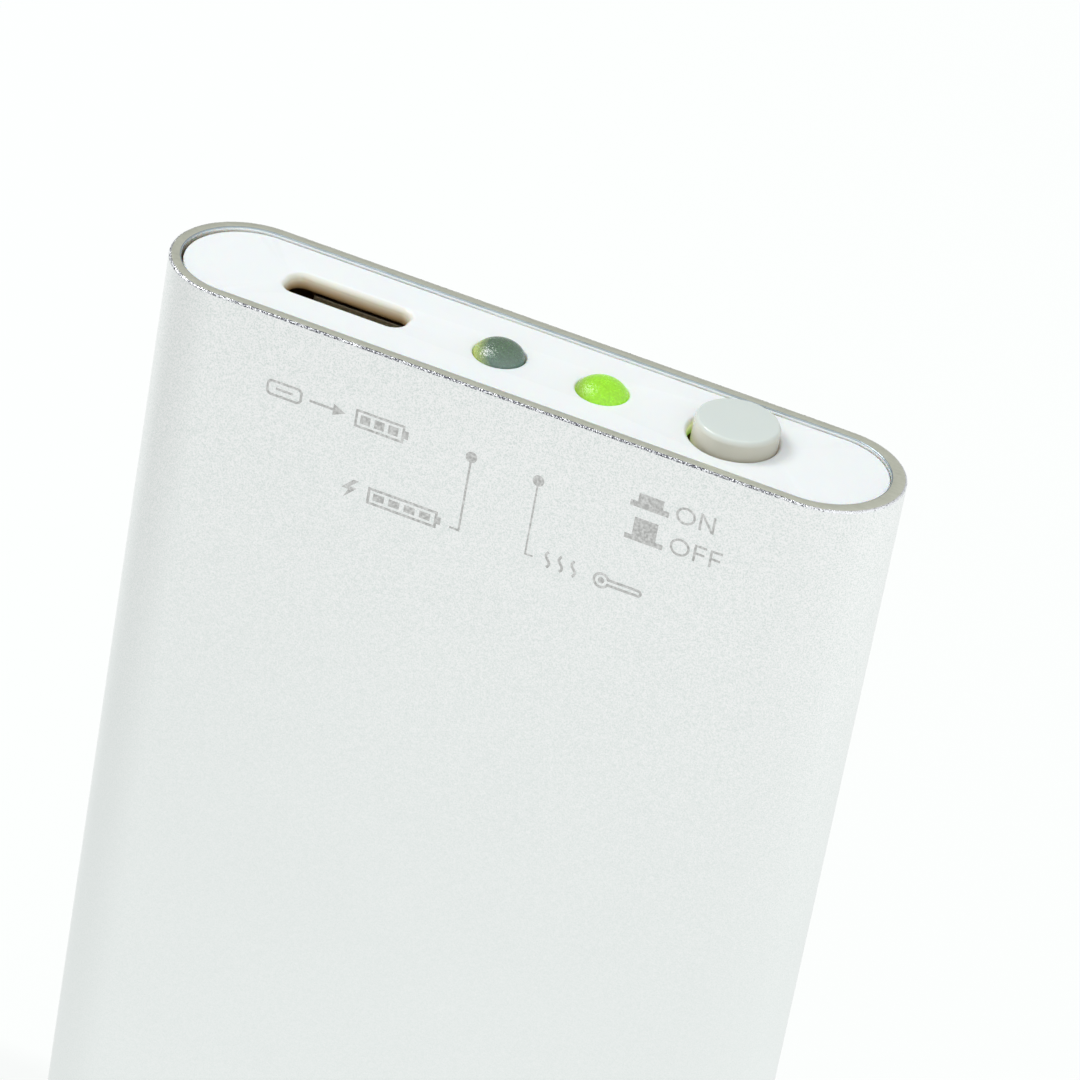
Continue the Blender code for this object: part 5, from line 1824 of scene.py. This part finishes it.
@dataclass
class InnerWorks:
    """The CAD pieces that keep their shapes: each gets its own finish."""

    def table(self) -> dict[Finish, tuple[str, ...]]:
        """Each finish and the starts of the names of the nodes that wear it.

        Returns:
            The starts of names, by finish.
        """
        steel = Metal("plated_screw_steel", (0.42, 0.41, 0.38), (0.6, 0.59, 0.56), (0.25, 0.4))
        tinned = Metal("tinned_copper_wire", (0.6, 0.59, 0.56), (0.78, 0.77, 0.74))
        gold = Metal("gold_plated_spring", (0.7, 0.48, 0.18), (0.88, 0.66, 0.3), (0.2, 0.32), Grain.STREAKED)
        foil = Metal(
            "crinkled_pouch_foil", (0.55, 0.56, 0.57), (0.75, 0.76, 0.77), (0.25, 0.45), Grain.WRINKLED
        )
        black = MouldedPlastic("black_moulded_plastic", (0.012, 0.012, 0.013), (0.024, 0.024, 0.025))
        natural = MouldedPlastic("natural_moulded_plastic", (0.62, 0.62, 0.57), (0.7, 0.7, 0.65))
        ceramic = MouldedPlastic("brown_ceramic_block", (0.26, 0.17, 0.1), (0.38, 0.27, 0.17), (0.5, 0.7))
        red = MouldedPlastic("red_wire_cover", (0.45, 0.02, 0.015), (0.6, 0.04, 0.03))
        dark = MouldedPlastic("black_wire_cover", (0.015, 0.015, 0.015), (0.03, 0.03, 0.03))
        white = MouldedPlastic("white_wire_cover", (0.68, 0.68, 0.64), (0.8, 0.8, 0.77))
        chips = ("charge_chip", "heater_transistor", "resistor", "temperature_sensor")
        return {
            steel: ("board_screw",),
            DRAWN_STEEL: ("switch_latch_pin",),
            tinned: ("led_charging_lead", "led_warming_lead", "switch_pin", "sensor_lead", "battery_tab"),
            gold: ("usb_contact",),
            foil: ("battery_cell",),
            black: ("usb_insulator", "switch_housing", "switch_plunger", *chips),
            natural: ("inner_frame",),
            ceramic: ("capacitor",),
            red: ("battery_lead_red",),
            dark: ("battery_lead_black",),
            white: ("heater_lead",),
            Foam(): ("foam",),
            HeatingFilm(): ("heater_film",),
            SolderMask(): ("circuit_board", "battery_board"),
        }

    def make(self, shop: Workshop) -> None:
        """Dress every node that no other piece replaces.

        Args:
            shop: Where pieces are made.
        """
        for finish, starts in self.table().items():
            material = shop.material(finish)
            for name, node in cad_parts.items():
                if name.startswith(starts):
                    for slot in node.material_slots:
                        slot.material = material
                    LOG.info("%s: dressed as %s", name, finish.name)


@dataclass
class Studio:
    """A pale floor, a pale surround, one soft lamp and the camera."""

    azimuth: float = 17.671
    elevation: float = 31.358
    roll: float = 10.617
    lens: float = 207.634
    distance: float = 341.98
    sensor_width: float = 36.0
    clip: Point = (0.01, 20.0)
    target: Place = (3.674, -4.55, 90.184)
    lamp_target: Place = (0.0, 0.0, 90.0)
    lamp_direction: Place = (-0.664, -0.036, 0.746)
    lamp_distance: float = 1200.0
    lamp_size: float = 520.0
    lamp_power: float = 6.5
    bright_side: Place = (0.68, -0.68, -0.27)
    sky_dim: float = 0.36
    sky_bright: float = 1.25
    sky_stretch: Point = (-1.0, 0.9)
    backdrop: Colour = (0.985, 0.995, 0.99)
    floor_colour: Colour = (0.94, 0.95, 0.945)
    floor_glow: Colour = (0.98, 1.0, 0.99)
    floor_glow_share: float = 0.8
    floor_size: float = 3.0
    dim_left: Point = (0.25, 0.6)
    dim_front: Point = (0.35, 0.8)
    bright_from: float = -0.015
    bright_behind: float = 0.05

    def camera(self) -> None:
        """Stand the camera where the photograph was taken from."""
        data = bpy.data.cameras.new("camera")
        data.lens = self.lens
        data.sensor_width = self.sensor_width
        data.clip_start, data.clip_end = self.clip
        turn = Matrix.Rotation(math.radians(self.azimuth), 4, "Z")
        turn @= Matrix.Rotation(math.radians(90.0 - self.elevation), 4, "X")
        turn @= Matrix.Rotation(math.radians(self.roll), 4, "Z")
        back = turn @ Vector((0.0, 0.0, self.distance * MM))
        place = Matrix.Translation(Vector(self.target) * MM + back) @ turn
        bpy.context.scene.camera = set_down("camera", data, place)

    def lamp(self) -> None:
        """Hang the soft lamp over the left side."""
        data = bpy.data.lights.new("soft_lamp", "AREA")
        data.shape = "DISK"
        data.size = self.lamp_size * MM
        data.energy = self.lamp_power
        lamp = set_down("soft_lamp", data)
        towards = Vector(self.lamp_direction).normalized()
        lamp.location = (Vector(self.lamp_target) + towards * self.lamp_distance) * MM
        lamp.rotation_euler = towards.to_track_quat("Z", "Y").to_euler()

    def surround(self) -> None:
        """Make the sky: brightest low in front on the right, dimmest over the back on the left."""
        world = bpy.data.worlds.new("pale_surround")
        bpy.context.scene.world = world
        world.use_nodes = True
        tree = Tree(world.node_tree)
        sockets = {0: tree.node("TexCoord").outputs["Generated"], 1: self.bright_side}
        facing = tree.node("VectorMath", sockets, operation="DOT_PRODUCT").outputs["Value"]
        level = tree.spread(facing, self.sky_dim, self.sky_bright, *self.sky_stretch)
        is_seen = tree.node("LightPath").outputs["Is Camera Ray"]
        background = tree.tree.nodes["Background"].inputs
        tree.put(tree.blend(is_seen, level, self.backdrop), background["Color"])
        tree.put(1.0, background["Strength"])

    def painted_floor_light(self, tree: Tree) -> Node:
        """The floor's emitted white, with painted shade that dims it away from the part towards the front and
        the left.

        Args:
            tree: The floor's node tree.

        Returns:
            The node that gives the white.
        """
        axes = tree.axes(tree.node("TexCoord").outputs["Object"])
        sides = (("X", *self.dim_left), ("Y", *self.dim_front))
        levels = [tree.spread(axes[axis], dim, 1.0, -reach, self.bright_from) for axis, reach, dim in sides]
        behind = tree.spread(axes["Y"], 0.0, 1.0, 0.0, self.bright_behind)
        level = tree.sums("MAXIMUM", tree.sums("MINIMUM", *levels), behind)
        return tree.node("VectorMath", {0: self.floor_glow, "Scale": level}, operation="SCALE")

    def floor(self) -> None:
        """Lay the pale floor, which shows near white and keeps its shadows."""
        shape = bmesh.new()
        bmesh.ops.create_grid(shape, x_segments=1, y_segments=1, size=self.floor_size)
        mesh = saved(shape, bpy.data.meshes.new("floor"))
        material = bpy.data.materials.new("pale_floor")
        material.use_nodes = True
        tree = Tree(material.node_tree)
        tree.tree.nodes.clear()
        rays = tree.node("LightPath").outputs
        is_seen = tree.sums("MAXIMUM", rays["Is Camera Ray"], rays["Is Glossy Ray"])
        is_seen = tree.sums("MAXIMUM", is_seen, rays["Is Transmission Ray"])
        share = tree.times(is_seen, self.floor_glow_share)
        matt = tree.node("BsdfDiffuse", {"Color": (*self.floor_colour, 1.0)})
        # Painted shade: the floor's emitted white dims towards the front and the left.
        glow = tree.node("Emission", {"Color": self.painted_floor_light(tree)})
        tree.node("OutputMaterial", {"Surface": tree.node("MixShader", {0: share, 1: matt, 2: glow})})
        mesh.materials.append(material)
        floor = set_down("floor", mesh)

    def make(self) -> None:
        """Set up everything round the part."""
        bpy.context.scene.view_settings.view_transform = "Standard"
        self.camera()
        self.lamp()
        self.surround()
        self.floor()


@dataclass
class HandWarmer:
    """The whole part: its shells, controls, marks and inner works."""

    top_face_z: float = 97.8
    foot_face_z: float = 0.2
    slot: Opening = field(default_factory=lambda: Opening((-11.38, 0.03), 7.3, 2.1, 0.8, 0.34))
    lamp_xs: Point = (-2.05, 4.171)
    lamp_hole: float = 1.515
    lamp_lip: float = 0.12
    button_hole: Opening = field(default_factory=lambda: round_opening((11.97, 0.1), 2.56, 0.24))

    def top_cap(self) -> EndCap:
        """The control end, with its slot and three round holes.

        Returns:
            The cap.
        """
        lamps = [(lamp_x, 0.0) for lamp_x in self.lamp_xs]
        openings = [self.slot, self.button_hole]
        openings += [round_opening(centre, self.lamp_hole, self.lamp_lip) for centre in lamps]
        return EndCap("control_cap", "top_cap", self.top_face_z, -1, openings, lamps)

    def white_plastic(self) -> GlossyShell:
        """The top cap's white, with painted shade that turns its cut-outs cream, brown and near black with
        depth, and painted green and warm light near the lamps and the button.

        Returns:
            The finish.
        """
        # Painted shade by depth below the face.
        stops = (
            (0.01, (0.885, 0.93, 0.94)),
            (0.06, (0.8, 0.82, 0.77)),
            (0.16, (0.81, 0.82, 0.74)),
            (0.42, (0.89, 0.83, 0.66)),
            (0.76, (0.58, 0.42, 0.23)),
            (1.0, (0.17, 0.09, 0.03)),
        )
        # Painted light: green round the lamps and in the button's left gap, cream at the button's right, each
        # with a painted glow.
        zones = (
            PaintedSpillZone((-5.0, 6.6), (0.84, 0.85, 0.62), (0.66, 0.7, 0.34), 0.3),
            PaintedSpillZone((9.2, 10.4), (0.72, 0.74, 0.42), (0.2, 0.36, 0.05), 0.6),
            PaintedSpillZone((13.8, 15.2), (0.86, 0.8, 0.68), (0.6, 0.45, 0.3), 0.2),
        )
        return GlossyShell("white_cap_plastic", stops, self.top_face_z, self.top_face_z - 0.94, zones)

    def foot_plastic(self) -> GlossyShell:
        """The bottom cap's white, with painted shade that turns it cream and brown with depth into the case.
        """
        stops = ((0.02, (0.885, 0.93, 0.94)), (0.4, (0.84, 0.8, 0.72)), (1.0, (0.4, 0.3, 0.2)))
        return GlossyShell("white_foot_plastic", stops, self.foot_face_z, self.foot_face_z + 1.05)

    def lamps(self) -> list[Lamp]:
        """The dark charging lamp and the lit warming lamp.

        Returns:
            The two lamps.
        """
        # Painted light: the unlit lamp's faint glow, and each lens's near colour on the side towards the
        # studio lamp.
        unlit = LampLens(
            "unlit_lamp_lens",
            self.lamp_xs[0],
            near=(0.55, 0.68, 0.14),
            far=(0.04, 0.155, 0.142),
            crown=(0.08, 0.16, 0.088),
            glow=(0.2, 0.4, 0.1),
            glow_strength=0.02,
            refraction=1.65,
        )
        lit = LampLens(
            "lit_lamp_lens",
            self.lamp_xs[1],
            near=(0.15, 0.2, 0.03),
            far=(0.24, 0.62, 0.006),
            crown=(0.23, 0.6, 0.006),
            glow=(0.3, 0.62, 0.01),
            glow_strength=0.47,
            refraction=1.45,
        )
        return [
            Lamp("charging_lamp", "led_charging", "unlit_lamp", unlit, length=5.35, crown_height=1.05),
            Lamp("warming_lamp", "led_warming", "lit_lamp", lit, length=5.27, crown_height=1.0),
        ]

    def make(self, shop: Workshop) -> None:
        """Build every piece in order.

        Args:
            shop: Where pieces are made.
        """
        Sleeve().make(shop)
        self.top_cap().make(shop, self.white_plastic())
        EndCap("foot_cap", "bottom_cap", self.foot_face_z, 1).make(shop, self.foot_plastic())
        for item in (*self.lamps(), Button(), ReturnSpring(), ChargingSocket(), FaceMarks(), InnerWorks()):
            item.make(shop)


def main() -> None:
    """Build the part and the studio."""
    Studio().make()
    HandWarmer().make(Workshop())


if __name__ == "__main__":
    main()
